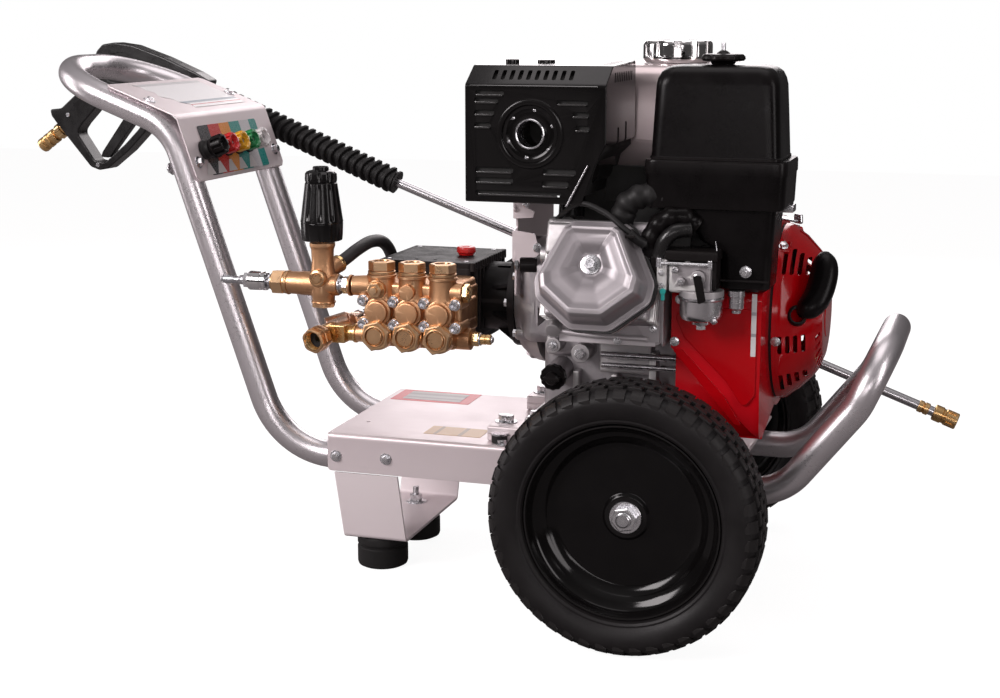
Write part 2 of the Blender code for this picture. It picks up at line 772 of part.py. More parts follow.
def make_pump_drive():
    """The hollow shaft with three eccentrics 120 degrees apart, and the plungers where those put them."""
    eccentrics = []
    for i in range(3):
        turn = math.radians(120 * i)
        shift = Vector((0, math.cos(turn), math.sin(turn))) * THROW
        middle = Vector((plunger_x(i), 0, CRANK_Z)) + shift
        half = Vector((0.009, 0, 0))
        eccentrics.append(cylinder(middle - half, middle + half, 0.024, sides=20))
        rear = -0.0455 + THROW * math.cos(turn)
        slide = pivot(f"plunger_{i + 1}_axis", (plunger_x(i), rear, CRANK_Z))
        end = Vector((plunger_x(i), rear, CRANK_Z))
        rod = cylinder(end - Vector((0, 0.105, 0)), end, PLUNGER_R, sides=16)
        part(f"plunger_{i + 1}", "ceramic", rod, pivot=slide)
    part(
        "pump_shaft",
        "zinc_steel",
        along_crank(-0.370, -0.205, SHAFT_R, 20),
        add=eccentrics,
        cut=[along_crank(-0.264, -0.190, 0.0127 + GAP, 20)],
        pivot=CRANK_PIVOT,
    )


CAP_Y = -0.163
CAP_BASE = 0.4240
INLET_Z = 0.345


def make_manifold():
    """The brass head: a boss and a front cap for each plunger, the inlet elbow at -X and a plug at +X."""
    add = []
    for i in range(3):
        x = plunger_x(i)
        inner = MANIFOLD_FRONT + 0.01
        disc_z = CRANK_Z + 0.002
        add.append(cylinder((x, CAP_Y, 0.400), (x, CAP_Y, CAP_BASE), 0.0165, sides=16))
        add.append(cylinder((x, inner, 0.347), (x, -0.197, 0.347), 0.0172, sides=6))
        add.append(cylinder((x, inner, disc_z), (x, -0.185, disc_z), 0.014, sides=16))
    add.append(box((-0.433, -0.181, INLET_Z - 0.011), (MANIFOLD_LEFT + 0.01, -0.148, INLET_Z + 0.011)))
    add.append(cylinder((-0.400, -0.155, 0.356), (-0.400, -0.1165, 0.356), 0.0085, sides=12))
    add.append(cylinder(INLET_BASE, INLET_BASE + INLET_OUT * 0.0225, 0.009, sides=16))
    add.append(box((MANIFOLD_RIGHT - 0.01, -0.166, 0.330), (-0.232, -0.128, 0.356)))
    bores = plunger_bores(-0.168, -0.070)
    body = box((MANIFOLD_LEFT, MANIFOLD_FRONT, 0.328), (MANIFOLD_RIGHT, MANIFOLD_BACK, 0.419), 0.006, 1)
    part("pump_manifold", "brass", body, add=add, cut=bores)
    for i in range(3):
        place = Vector((plunger_x(i), CAP_Y, CAP_BASE + GAP))
        cap = cylinder(place, place + Vector((0, 0, 0.0165)), 0.0155, sides=6)
        part(f"discharge_cap_{i + 1}", "brass", cap)
    part(
        "thermal_valve",
        "brass",
        cylinder((-0.232 + GAP, -0.147, 0.343), (-0.216, -0.147, 0.343), 0.0095, sides=6),
        add=[cylinder((-0.218, -0.147, 0.343), (-0.2045, -0.147, 0.343), 0.0065, sides=12)],
    )


INLET_BASE = Vector((-0.4195, -0.170, INLET_Z))
INLET_OUT = Vector((-0.20, -0.97, -0.12)).normalized()


def make_inlet_swivel():
    """The ring nut that takes the supply hose; it turns freely on the elbow."""
    base = INLET_BASE + INLET_OUT * 0.0180
    ring = [(0.0165, 0.024), (0.0165, 0), (0.0093, 0), (0.0093, 0.008), (0.0125, 0.008), (0.0125, 0.024)]
    part(
        "inlet_swivel",
        "brass",
        turned(ring, base, INLET_OUT, 20),
        pivot=pivot("inlet_swivel_axis", base),
    )


def make_unloader():
    """The pressure regulator: a cross of barrels, its outlet nipple at -X and its knob above."""
    x, y, z = UNLOADER
    knob_z = 0.465
    part(
        "unloader_body",
        "brass",
        cylinder((x, y, 0.380), (x, y, knob_z - 0.003), 0.0150),
        add=[
            cylinder((-0.500, y, z), (x, y, z), 0.0160),
            cylinder((x, y, z), (MANIFOLD_LEFT - GAP, y + 0.003, z), 0.0085, sides=12),
            cylinder((x, y - 0.020, 0.418), (x, y, 0.418), 0.0090, sides=12),
            cylinder((x, y, 0.420), (-0.4195, -0.1435, 0.4305), 0.0095, sides=12),
            cylinder((x, y, knob_z - 0.01), (x, y, knob_z + 0.035), 0.0060, sides=12),
            cylinder((-0.574, y, z), (-0.495, y, z), 0.0062, sides=12),
        ],
    )
    place = Vector((x, y, knob_z))
    knob = [(0, 0.095), (0.016, 0.095), (0.021, 0.088), (0.0225, 0.070), (0.027, 0.028), (0.026, 0.002)]
    knob += [(0.024, 0), (0.0063, 0), (0.0063, 0.038), (0, 0.038)]
    part(
        "unloader_knob",
        "black_plastic",
        turned(knob, place, (0, 0, 1), 24),
        pivot=pivot("unloader_knob_axis", place),
    )
    sleeve = [(0.0125, 0.027), (0.0125, 0), (0.0065, 0), (0.0065, 0.027)]
    part("outlet_coupler", "chrome", turned(sleeve, (-0.507, y, z), (-1, 0, 0), 20))


def make_bypass_hose():
    """From the back of the unloader over and behind the manifold's end to the top of the inlet elbow."""
    route = [
        (-0.4192, -0.1428, 0.4308),
        (-0.4142, -0.1290, 0.4363),
        (-0.4090, -0.100, 0.4450),
        (-0.4060, -0.060, 0.450),
        (-0.4040, -0.022, 0.444),
        (-0.402, 0.002, 0.424),
        (-0.401, 0.006, 0.398),
        (-0.401, -0.010, 0.374),
        (-0.400, -0.045, 0.361),
        (-0.400, -0.080, 0.357),
        (-0.400, -0.1162, 0.356),
    ]
    part("bypass_hose", "hose", tube(smooth_path(route, 2), 0.0085, 3))


# ---------------------------------------------------------------- gun and lance
def make_gun():
    """A flat-sided body with its guard in one outline, and the brass inlet coupler below its grip."""
    outline = [
        (-0.757, 0.652), (-0.779, 0.664), (-0.832, 0.686), (-0.885, 0.704), (-0.916, 0.708), (-0.937, 0.705),
        (-0.949, 0.694), (-0.957, 0.655), (-0.990, 0.627), (-1.016, 0.606), (-1.036, 0.604), (-1.034, 0.594),
        (-1.023, 0.580), (-0.968, 0.516), (-0.953, 0.511), (-0.937, 0.514), (-0.900, 0.542), (-0.871, 0.570),
        (-0.840, 0.612), (-0.808, 0.6245), (-0.771, 0.618),
    ]
    finger_gap = [
        (-0.990, 0.569), (-0.960, 0.5255), (-0.942, 0.5235), (-0.905, 0.553), (-0.880, 0.577), (-0.860, 0.606),
        (-0.868, 0.6215), (-0.905, 0.6228), (-0.935, 0.618), (-0.956, 0.606), (-0.980, 0.582),
    ]
    mouth = Vector((-1.018, GUN_Y, 0.576))
    away = Vector((-0.052, 0, -0.037)).normalized()
    back = (LANCE_TAIL - LANCE_BEND).normalized()
    part(
        "gun_body",
        "black_plastic",
        front_plate(outline, GUN_Y - GUN_HALF, GUN_Y + GUN_HALF, [finger_gap]),
        add=[
            cylinder(mouth - away * 0.012, mouth + away * 0.024, 0.0100, sides=12),
            cylinder(mouth + away * 0.020, mouth + away * 0.054, 0.0115, sides=16),
        ],
        cut=[cylinder(LANCE_TAIL + back * 0.030, LANCE_BEND, LANCE_R + GAP, sides=12)],
    )
    place = Vector((-0.884, GUN_Y, 0.610))
    blade = [(-0.009, 0.004), (0.005, 0.008), (0.009, -0.004)]
    blade += [(-0.055, -0.080), (-0.070, -0.079), (-0.066, -0.070)]
    part(
        "gun_trigger",
        "black_plastic",
        plate(blade, 0.014, place, (1, 0, 0), (0, 0, 1)),
        pivot=pivot("gun_trigger_axis", place),
    )


def make_lance():
    """A steel tube bent once, its ribbed grip, and the sleeve of the nozzle coupler at its tip."""
    tail = (LANCE_TAIL - LANCE_BEND).normalized()
    slope = (LANCE_TIP - LANCE_BEND).normalized()
    start = LANCE_TAIL + tail * 0.012
    path = rounded_path([start, LANCE_BEND, LANCE_TIP - slope * SOCKET], [0.15], math.radians(2))
    collar = cylinder(LANCE_TIP - slope * 0.056, LANCE_TIP - slope * 0.041, 0.0085, sides=12)
    part("lance_tube", "zinc_steel", tube(path, LANCE_R, 2), add=[collar])
    grip_start = LANCE_TAIL - tail * 0.006
    grip_length = (LANCE_BEND - grip_start).length - 0.004
    grip = [(0.0195, grip_length), (0.0195, 0), (LANCE_R + GAP, 0), (LANCE_R + GAP, grip_length)]
    part("lance_grip", "rubber", turned(grip, grip_start, -tail, 20))
    sleeve = [(0.0115, 0.034), (0.0115, 0), (LANCE_R + GAP, 0), (LANCE_R + GAP, 0.034)]
    part("lance_coupler", "brass", turned(sleeve, LANCE_TIP - slope * 0.034, slope, 20))


# ---------------------------------------------------------------- the machine
CRANK_PIVOT = pivot("crank_axis", CRANK)
make_running_gear()
make_foot_bracket()
make_base_plate()
make_handle_frame()
make_front_loop()
make_control_panel()
make_engine_rails()
make_crankcase()
make_cylinder_head()
make_crankshaft()
make_blower()
make_exhaust()
make_fuel_tank()
make_air_cleaner()
make_carburettor()
make_controls()
make_pump_crankcase()
make_pump_drive()
make_manifold()
make_inlet_swivel()
make_unloader()
make_bypass_hose()
make_gun()
make_lance()
bpy.context.view_layer.update()
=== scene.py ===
import math

import bmesh
import bpy
from mathutils import Matrix, Vector


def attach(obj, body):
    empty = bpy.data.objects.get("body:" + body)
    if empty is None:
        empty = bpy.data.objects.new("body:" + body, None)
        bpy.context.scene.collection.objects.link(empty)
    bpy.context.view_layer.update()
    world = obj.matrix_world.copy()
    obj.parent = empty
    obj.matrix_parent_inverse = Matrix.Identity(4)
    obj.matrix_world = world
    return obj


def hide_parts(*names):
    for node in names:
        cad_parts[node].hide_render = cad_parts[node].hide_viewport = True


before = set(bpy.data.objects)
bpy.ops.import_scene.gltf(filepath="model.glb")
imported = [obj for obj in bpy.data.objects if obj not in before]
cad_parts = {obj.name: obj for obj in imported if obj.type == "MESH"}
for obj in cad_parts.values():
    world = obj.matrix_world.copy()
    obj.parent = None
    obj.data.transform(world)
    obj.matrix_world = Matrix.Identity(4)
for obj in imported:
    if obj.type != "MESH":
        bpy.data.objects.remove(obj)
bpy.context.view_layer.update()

AXLE_X = 0.3524
X, Y, Z = Vector((1, 0, 0)), Vector((0, 1, 0)), Vector((0, 0, 1))
SMOOTH = math.radians(32)


# ---------------------------------------------------------------- shapes
def solid(bm):
    bmesh.ops.recalc_face_normals(bm, faces=bm.faces)
    mesh = bpy.data.meshes.new("shape")
    bm.to_mesh(mesh)
    bm.free()
    obj = bpy.data.objects.new("shape", mesh)
    bpy.context.scene.collection.objects.link(obj)
    return obj


def discard(obj):
    bpy.data.objects.remove(obj, do_unlink=True)


def bm_of(obj):
    """The shape's mesh to work on. The shape itself is gone."""
    bm = bmesh.new()
    bm.from_mesh(obj.data)
    discard(obj)
    return bm


def evaluated(obj):
    """The shape with its modifiers applied, as a new shape."""
    bpy.context.view_layer.update()
    mesh = bpy.data.meshes.new_from_object(obj.evaluated_get(bpy.context.evaluated_depsgraph_get()))
    bm = bmesh.new()
    bm.from_mesh(mesh)
    bm.transform(obj.matrix_world)
    bpy.data.meshes.remove(mesh)
    discard(obj)
    bmesh.ops.remove_doubles(bm, verts=bm.verts, dist=1e-6)
    return solid(bm)


def softened(obj, width, segments=2, angle=40):
    """Every edge sharper than the angle rounded."""
    made = obj.modifiers.new("bevel", "BEVEL")
    made.width = width
    made.segments = segments
    made.limit_method = "ANGLE"
    made.angle_limit = math.radians(angle)
    made.use_clamp_overlap = True
    return evaluated(obj)


def box(low, high, rounding=0.0, segments=3):
    low, high = Vector(low), Vector(high)
    bm = bmesh.new()
    bmesh.ops.create_cube(bm, size=1.0)
    bmesh.ops.transform(
        bm, matrix=Matrix.Translation((low + high) / 2) @ Matrix.Diagonal((*(high - low), 1)), verts=bm.verts
    )
    obj = solid(bm)
    return softened(obj, rounding, segments) if rounding else obj


def axes_to(axis):
    """A rotation that takes +Z to an axis and keeps +X level where it can."""
    axis = Vector(axis).normalized()
    side = Z.cross(axis)
    side = X.copy() if side.length < 1e-6 else side.normalized()
    return Matrix((side, axis.cross(side), axis)).transposed()


def turned(profile, base, axis=Z, steps=64, start=0.0, wobble=None):
    """A profile of (radius, height) points swept about an axis, closed if it ends off the axis."""
    bm = bmesh.new()
    base, turn = Vector(base), axes_to(axis)
    rings = []
    for r, h in profile:
        count = steps if r > 1e-7 else 1
        ring = []
        for i in range(count):
            a = start + 2 * math.pi * i / count
            reach = r * wobble(a, r, h) if wobble else r
            ring.append(bm.verts.new(base + turn @ Vector((reach * math.cos(a), reach * math.sin(a), h))))
        rings.append(ring)
    pairs = list(zip(rings, rings[1:]))
    if profile[0][0] > 1e-7 and profile[-1][0] > 1e-7:
        pairs.append((rings[-1], rings[0]))
    for a, b in pairs:
        for i in range(steps):
            j = (i + 1) % steps
            corners = [a[i % len(a)], a[j % len(a)], b[j % len(b)], b[i % len(b)]]
            corners = list(dict.fromkeys(corners))
            if len(corners) > 2:
                bm.faces.new(corners)
    return solid(bm)


def cylinder(start, end, radius, end_radius=None, sides=40, rounding=0.0):
    start, end = Vector(start), Vector(end)
    length = (end - start).length
    far = radius if end_radius is None else end_radius
    c = rounding
    if c:
        profile = [(0, 0), (radius - c, 0), (radius - 0.3 * c, 0.3 * c), (radius, c)]
        profile += [(far, length - c), (far - 0.3 * c, length - 0.3 * c), (far - c, length), (0, length)]
    else:
        profile = [(0, 0), (radius, 0), (far, length), (0, length)]
    return turned(profile, start, end - start, sides)


def pipe(start, end, outer, inner, sides=48, chamfer=0.0005):
    start, end = Vector(start), Vector(end)
    n = (end - start).length
    c = chamfer
    profile = [
        (outer - c, 0), (outer, c), (outer, n - c), (outer - c, n), (inner + c, n), (inner, n - c), (inner, c),
        (inner + c, 0)
    ]
    return turned(profile, start, end - start, sides)


def hexagon(start, end, across, chamfer=0.0012, turn=0.0):
    """A hexagonal bar with its end corners turned off. Across is over the flats."""
    start, end = Vector(start), Vector(end)
    r, n, k = across / 2 / math.cos(math.pi / 6), (end - start).length, chamfer
    profile = [(0, 0), (r - k, 0), (r, k * 0.6), (r, n - k * 0.6), (r - k, n), (0, n)]
    return turned(profile, start, end - start, 6, start=turn)


def bar_x(y, z, start, end, *radii, **more):
    """A cylinder along X; the next two do the same along Y and Z."""
    return cylinder((start, y, z), (end, y, z), *radii, **more)


def bar_y(x, z, start, end, *radii, **more):
    return cylinder((x, start, z), (x, end, z), *radii, **more)


def bar_z(x, y, start, end, *radii, **more):
    return cylinder((x, y, start), (x, y, end), *radii, **more)


def frames_along(points):
    """A direction and two side axes at each point, carried along without twist."""
    points = [Vector(p) for p in points]
    last = len(points) - 1
    side = None
    made = []
    for i, p in enumerate(points):
        ahead = (points[min(i + 1, last)] - points[max(i - 1, 0)]).normalized()
        if side is None:
            side = ahead.cross(Z if abs(ahead.z) < 0.9 else X).normalized()
        else:
            side = (side - ahead * side.dot(ahead)).normalized()
        made.append((p, side, ahead.cross(side)))
    return made


def tube(points, radius, sides=24, flat=1.0):
    """A round bar along a path. The radius is one number or one for each point."""
    bm = bmesh.new()
    frames = frames_along(points)
    radii = radius if isinstance(radius, (list, tuple)) else [radius] * len(frames)
    rings = []
    for (p, u, v), r in zip(frames, radii):
        steps = [2 * math.pi * k / sides for k in range(sides)]
        rings.append([bm.verts.new(p + u * (r * math.cos(a)) + v * (r * flat * math.sin(a))) for a in steps])
    for a, b in zip(rings, rings[1:]):
        for i in range(sides):
            j = (i + 1) % sides
            bm.faces.new((a[i], a[j], b[j], b[i]))
    bm.faces.new(rings[0])
    bm.faces.new(rings[-1])
    return solid(bm)


def plate(outline, thickness, origin, right, up, holes=(), rounding=0.0, segments=2):
    """A flat outline in the plane of two axes, of half the thickness on each side of the origin."""
    curve = bpy.data.curves.new("shape", "CURVE")
    curve.dimensions = "2D"
    curve.fill_mode = "BOTH"
    curve.extrude = thickness / 2
    for ring in (outline, *holes):
        spline = curve.splines.new("POLY")
        spline.points.add(len(ring) - 1)
        for target, point in zip(spline.points, ring):
            target.co = (point[0], point[1], 0, 1)
        spline.use_cyclic_u = True
    obj = bpy.data.objects.new("shape", curve)
    bpy.context.scene.collection.objects.link(obj)
    right, up = Vector(right).normalized(), Vector(up).normalized()
    turn = Matrix((right, up, right.cross(up))).transposed()
    obj.matrix_world = Matrix.Translation(Vector(origin)) @ turn.to_4x4()
    obj = evaluated(obj)
    bm = bm_of(obj)
    bmesh.ops.dissolve_limit(bm, angle_limit=0.001, verts=bm.verts, edges=bm.edges)
    obj = solid(bm)
    return softened(obj, rounding, segments, 25) if rounding else obj


def rounded_outline(corners, radius, steps=5):
    """An outline with every corner made an arc. Radius is one number or one for each corner."""
    count = len(corners)
    radii = radius if isinstance(radius, (list, tuple)) else [radius] * count
    made = []
    for i in range(count):
        p = Vector(corners[i]).to_2d()
        back = (Vector(corners[i - 1]).to_2d() - p)
        ahead = (Vector(corners[(i + 1) % count]).to_2d() - p)
        r = radii[i]
        if r <= 0:
            made.append(tuple(p))
            continue
        bend = math.pi - back.angle(ahead)
        reach = min(r * math.tan(bend / 2), back.length * 0.49, ahead.length * 0.49)
        start, end = p + back.normalized() * reach, p + ahead.normalized() * reach
        for k in range(steps + 1):
            t = k / steps
            made.append(tuple(start * (1 - t) ** 2 + p * (2 * t * (1 - t)) + end * t * t))
    return made


def rounded_rectangle(left, bottom, right, top, radius, steps=5):
    return rounded_outline([(left, bottom), (right, bottom), (right, top), (left, top)], radius, steps)


def combine(base, add=(), cut=(), rounding=0.0, segments=2, angle=40):
    """Booleans, one after another, and then an optional rounding of what is left sharp."""
    for operation, others in (("UNION", add), ("DIFFERENCE", cut)):
        for other in others:
            made = base.modifiers.new(operation, "BOOLEAN")
            made.operation = operation
            made.object = other
            made.solver = "EXACT"
    base = evaluated(base)
    for other in (*add, *cut):
        discard(other)
    return softened(base, rounding, segments, angle) if rounding else base


def join(*shapes):
    """Separate shells in one mesh."""
    bm = bmesh.new()
    for shape in shapes:
        bm.from_mesh(shape.data)
        discard(shape)
    return solid(bm)


def moved(obj, matrix):
    bm = bm_of(obj)
    bm.transform(matrix)
    if matrix.determinant() < 0:
        bmesh.ops.reverse_faces(bm, faces=bm.faces)
    return solid(bm)


def copies(obj, matrices):
    bm = bmesh.new()
    for matrix in matrices:
        mesh = obj.data.copy()
        mesh.transform(matrix)
        bm.from_mesh(mesh)
        bpy.data.meshes.remove(mesh)
    discard(obj)
    return solid(bm)


def at(offset):
    return Matrix.Translation(Vector(offset))


def placed(axis, place):
    """From a shape made along +Z at the origin to an axis at a place."""
    return at(place) @ axes_to(axis).to_4x4()


def rounded_path(corners, radii, step=math.radians(6)):
    """Straight runs between corners, each inner corner replaced by an arc of its radius."""
    corners = [Vector(c) for c in corners]
    path = [corners[0]]
    for before, corner, after, radius in zip(corners, corners[1:], corners[2:], radii):
        back = (before - corner).normalized()
        ahead = (after - corner).normalized()
        bend = math.pi - back.angle(ahead)
        reach = radius * math.tan(bend / 2)
        centre = corner + (back + ahead).normalized() * radius / math.cos(bend / 2)
        start = corner + back * reach - centre
        end = corner + ahead * reach - centre
        count = max(2, round(bend / step))
        for i in range(count + 1):
            share = i / count
            path.append(
                centre + (start * math.sin((1 - share) * bend) + end * math.sin(share * bend)) / math.sin(bend)
            )
    path.append(corners[-1])
    return path


def smooth_path(points, per_span=8):
    """A smooth curve through every point of a route."""
    points = [Vector(p) for p in points]
    ends = [2 * points[0] - points[1], *points, 2 * points[-1] - points[-2]]
    path = []
    for a, b, c, d in zip(ends, ends[1:], ends[2:], ends[3:]):
        for i in range(per_span):
            t = i / per_span
            path.append(
                (2 * b + (c - a) * t + (2 * a - 5 * b + 4 * c - d) * t**2 + (3 * b - a - 3 * c + d) * t**3) / 2
            )
    path.append(points[-1])
    return path


def mirrored(points):
    return [(x, -y, z) for x, y, z in reversed(points)]


def piece(name, obj, body, slot, material, *replaces):
    """A finished piece: moved to the model's frame, shaded, given its material and its body."""
    obj.name = name
    obj.data.name = name
    obj.data.transform(Matrix.Translation((AXLE_X, 0, 0)))
    obj.data.materials.clear()
    obj.data.materials.append(material)
    obj.data.shade_smooth()
    obj.data.set_sharp_from_angle(angle=SMOOTH)
    weighted = obj.modifiers.new("normals", "WEIGHTED_NORMAL")
    weighted.keep_sharp = True
    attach(obj, body)
    if replaces:
        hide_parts(*replaces)
    return obj


# ---------------------------------------------------------------- fasteners
def fixed(name, obj, slot, material, *replaces):
    """A piece that stays on the cart."""
    piece(name, obj, "cart", slot, material, *replaces)


def zinc(name, *shapes):
    """Zinc-plated steel parts as one piece on the cart."""
    fixed(name, join(*shapes), "zinc_steel", ZINC)


def bolt(place, axis, across=0.01, height=0.005, washer=0.0, turn=0.3):
    """A hexagon head on its washer, standing on a place."""
    place, axis = Vector(place), Vector(axis).normalized()
    base = 0.0
    shapes = []
    if washer:
        base = 0.0012
        profile = [
            (0, 0), (washer - 0.0003, 0), (washer, 0.0003), (washer, base - 0.0003), (washer - 0.0003, base),
            (0, base)
        ]
        shapes.append(turned(profile, place, axis, 32))
    shapes.append(hexagon(place + axis * (base - 0.0001), place + axis * (base + height), across, 0.0007, turn))
    r = across * 0.4
    dome = [(0, 0), (r, 0), (r * 0.92, 0.0004), (0, 0.0007)]
    shapes.append(turned(dome, place + axis * (base + height - 0.0001), axis, 24))
    return join(*shapes)


def socket_screw(place, axis, radius=0.0045, height=0.005):
    """A round head with a hexagonal recess."""
    place, axis = Vector(place), Vector(axis).normalized()
    c = 0.0005
    head = [(0, 0), (radius, 0), (radius, height - c), (radius - c, height), (0, height)]
    shape = turned(head, place, axis, 28)
    key = hexagon(place + axis * (height * 0.35), place + axis * (height * 2), radius * 1.05, 0.0)
    return combine(shape, cut=[key])


def pan_screw(place, axis, radius=0.004, height=0.002):
    """A low domed head with a cross cut in it."""
    place, axis = Vector(place), Vector(axis).normalized()
    head = [(0, 0), (radius, 0), (radius, height * 0.4), (radius * 0.75, height * 0.85), (0, height)]
    shape = turned(head, place, axis, 24)
    blade = Vector((radius * 0.62, radius * 0.12, height * 0.8))
    cuts = []
    for wide, deep in ((blade.x, blade.y), (blade.y, blade.x)):
        cut = box((-wide, -deep, height * 0.35), (wide, deep, height * 1.5))
        cuts.append(moved(cut, placed(axis, place)))
    return combine(shape, cut=cuts)


def star_washer(place, axis, radius, thickness=0.001):
    teeth = 16
    return turned(
        [(radius * 0.5, 0), (radius, 0), (radius, thickness), (radius * 0.5, thickness)],
        place,
        axis,
        teeth * 2,
        wobble=lambda a, r, h: 1.0 if r < radius * 0.9 else 1.0 + 0.07 * math.cos(a * teeth),
    )


# ---------------------------------------------------------------- materials
def nodes_of(name):
    material = bpy.data.materials.new(name)
    material.use_nodes = True
    tree = material.node_tree
    return material, tree, tree.nodes["Principled BSDF"]


def add_node(tree, kind, inputs=None, **settings):
    node = tree.nodes.new(kind)
    for key, value in settings.items():
        setattr(node, key, value)
    for key, value in (inputs or {}).items():
        if isinstance(value, bpy.types.NodeSocket):
            tree.links.new(value, node.inputs[key])
        else:
            node.inputs[key].default_value = value
    return node


def noise_of(tree, scale, stretch=(1, 1, 1), detail=3.0):
    """A noise over the point on the piece, in metres, stretched as asked."""
    place = add_node(tree, "ShaderNodeTexCoord").outputs["Object"]
    place = add_node(tree, "ShaderNodeMapping", {"Vector": place, "Scale": stretch}).outputs["Vector"]
    inputs = {"Vector": place, "Scale": scale, "Detail": detail, "Roughness": 0.6}
    return add_node(tree, "ShaderNodeTexNoise", inputs).outputs["Fac"]


def ranged(tree, value, low, high, start=0.3, end=0.7):
    """A value between start and end spread from low to high."""
    inputs = {"Value": value, "From Min": start, "From Max": end, "To Min": low, "To Max": high}
    return add_node(tree, "ShaderNodeMapRange", inputs).outputs["Result"]


def blended(tree, share, a, b):
    """Two colours, or colour sockets, mixed by a share from 0 to 1."""
    node = add_node(tree, "ShaderNodeMix", data_type="RGBA")
    for index, value in ((0, share), (6, a), (7, b)):
        if isinstance(value, bpy.types.NodeSocket):
            tree.links.new(value, node.inputs[index])
        elif index == 0:
            node.inputs[0].default_value = value
        else:
            node.inputs[index].default_value = (*value[:3], 1)
    return node.outputs[2]


def bumped(tree, shader, height, strength, distance):
    """A bump from a height socket. The distance is in metres."""
    inputs = {"Height": height, "Strength": strength, "Distance": distance}
    tree.links.new(add_node(tree, "ShaderNodeBump", inputs).outputs["Normal"], shader.inputs["Normal"])


def worn_edges(tree):
    """1 on sharp outer edges and 0 elsewhere."""
    geometry = add_node(tree, "ShaderNodeNewGeometry")
    return ranged(tree, geometry.outputs["Pointiness"], 0.0, 1.0, 0.52, 0.6)


def surface(
    name, colour, second, roughness, metallic=0.0, patch=14.0, grain=900.0, stretch=(1, 1, 1),
    bump=(0.15, 0.0001), edge=None, dirt=0.0, coat=0.0, coat_roughness=0.05, specular=0.5,
):
    """A material with slow patches of two colours, a fine grain in the gloss, and lighter edges."""
    material, tree, shader = nodes_of(name)
    slow = noise_of(tree, patch)
    fine = noise_of(tree, grain, stretch)
    base = blended(tree, ranged(tree, slow, 0.0, 1.0), colour, second)
    if dirt:
        dark = tuple(c * 0.45 for c in colour)
        base = blended(tree, ranged(tree, noise_of(tree, patch * 3.1, detail=6.0), 0.0, dirt, 0.5, 0.8), base, dark)
    if edge:
        base = blended(tree, worn_edges(tree), base, edge)
    low, high = roughness
    mixed = add_node(tree, "ShaderNodeMath", {0: slow, 1: fine}, operation="ADD").outputs[0]
    tree.links.new(base, shader.inputs["Base Color"])
    tree.links.new(ranged(tree, mixed, low, high, 0.75, 1.25), shader.inputs["Roughness"])
    shader.inputs["Metallic"].default_value = metallic
    shader.inputs["Specular IOR Level"].default_value = specular
    shader.inputs["Coat Weight"].default_value = coat
    shader.inputs["Coat Roughness"].default_value = coat_roughness
    bumped(tree, shader, fine, *bump)
    return material


TUBE_ALUMINIUM = surface(
    "tube_aluminium", (0.72, 0.685, 0.705), (0.64, 0.61, 0.63), (0.26, 0.38), 0.9, patch=9, grain=420,
    bump=(0.01, 0.00002),
)
SHEET_ALUMINIUM = surface(
    "sheet_aluminium", (0.7, 0.615, 0.632), (0.64, 0.56, 0.578), (0.32, 0.46), 0.35, patch=9, grain=500,
    stretch=(0.06, 1, 1), bump=(0.1, 0.0001), dirt=0.04, edge=(0.82, 0.74, 0.75),
)
# The plate's sheet aluminium, made lighter and less metallic for the foot bracket, which sits in the plate's shade:
# painted light.
LIT_BRACKET_ALUMINIUM = surface(
    "bracket_aluminium_painted_light", (0.93, 0.83, 0.85), (0.87, 0.77, 0.79), (0.32, 0.46), 0.1, patch=9, grain=500,
    stretch=(0.06, 1, 1), bump=(0.1, 0.0001), edge=(0.95, 0.87, 0.88),
)
CAST = surface(
    "cast_aluminium", (0.42, 0.395, 0.41), (0.32, 0.3, 0.31), (0.42, 0.6), 0.85, patch=30, grain=1300,
    bump=(0.45, 0.00035), dirt=0.35, edge=(0.7, 0.69, 0.68),
)
ENGINE_SILVER = surface(
    "engine_silver_paint", (0.29, 0.268, 0.28), (0.26, 0.24, 0.252), (0.34, 0.44), 0.5, patch=18, grain=1500,
    bump=(0.15, 0.00012), edge=(0.66, 0.62, 0.64), coat=0.15, coat_roughness=0.15,
)
TANK_SILVER = surface(
    "tank_silver_paint", (0.66, 0.56, 0.565), (0.6, 0.5, 0.505), (0.3, 0.36), 0.7, patch=7, grain=2400,
    bump=(0.1, 0.00006), coat=0.6, coat_roughness=0.06,
)
GLOSS_BLACK = surface(
    "gloss_black_paint", (0.003, 0.0026, 0.0027), (0.0045, 0.004, 0.004), (0.1, 0.16), 0.0, patch=25, grain=700,
    bump=(0.08, 0.00008), edge=(0.015, 0.014, 0.014), specular=0.24,
)
# The guard's own gloss black paint, made lighter and glossier for the louvre lips and the rib: painted highlight.
HIGHLIGHT_LIP_BLACK = surface(
    "black_lips_painted_highlight", (0.012, 0.011, 0.011), (0.016, 0.015, 0.015), (0.16, 0.24), 0.0, patch=40, grain=900,
    bump=(0.05, 0.00005), coat=0.9, coat_roughness=0.08, specular=0.9,
)
MATTE_BLACK = surface(
    "moulded_black_plastic", (0.003, 0.0024, 0.0025), (0.0045, 0.0036, 0.0038), (0.24, 0.34), 0.0, patch=30,
    grain=1700,
    bump=(0.2, 0.00012), edge=(0.014, 0.012, 0.012), specular=0.12,
)
GUN_BLACK = surface(
    "gun_black_plastic", (0.006, 0.0055, 0.0056), (0.009, 0.0085, 0.0086), (0.22, 0.34), 0.0, patch=40, grain=1500,
    bump=(0.2, 0.00012), edge=(0.025, 0.024, 0.024), specular=0.45,
)
PUMP_BLACK = surface(
    "pump_black_paint", (0.0055, 0.0045, 0.0048), (0.009, 0.0075, 0.008), (0.42, 0.6), 0.0, patch=40, grain=1100,
    bump=(0.6, 0.0004), edge=(0.03, 0.026, 0.026), specular=0.18,
)
RUBBER = surface(
    "black_rubber", (0.006, 0.0055, 0.0056), (0.01, 0.0092, 0.0094), (0.46, 0.62), 0.0, patch=40, grain=1400,
    bump=(0.25, 0.00015), edge=(0.022, 0.021, 0.021), specular=0.3,
)
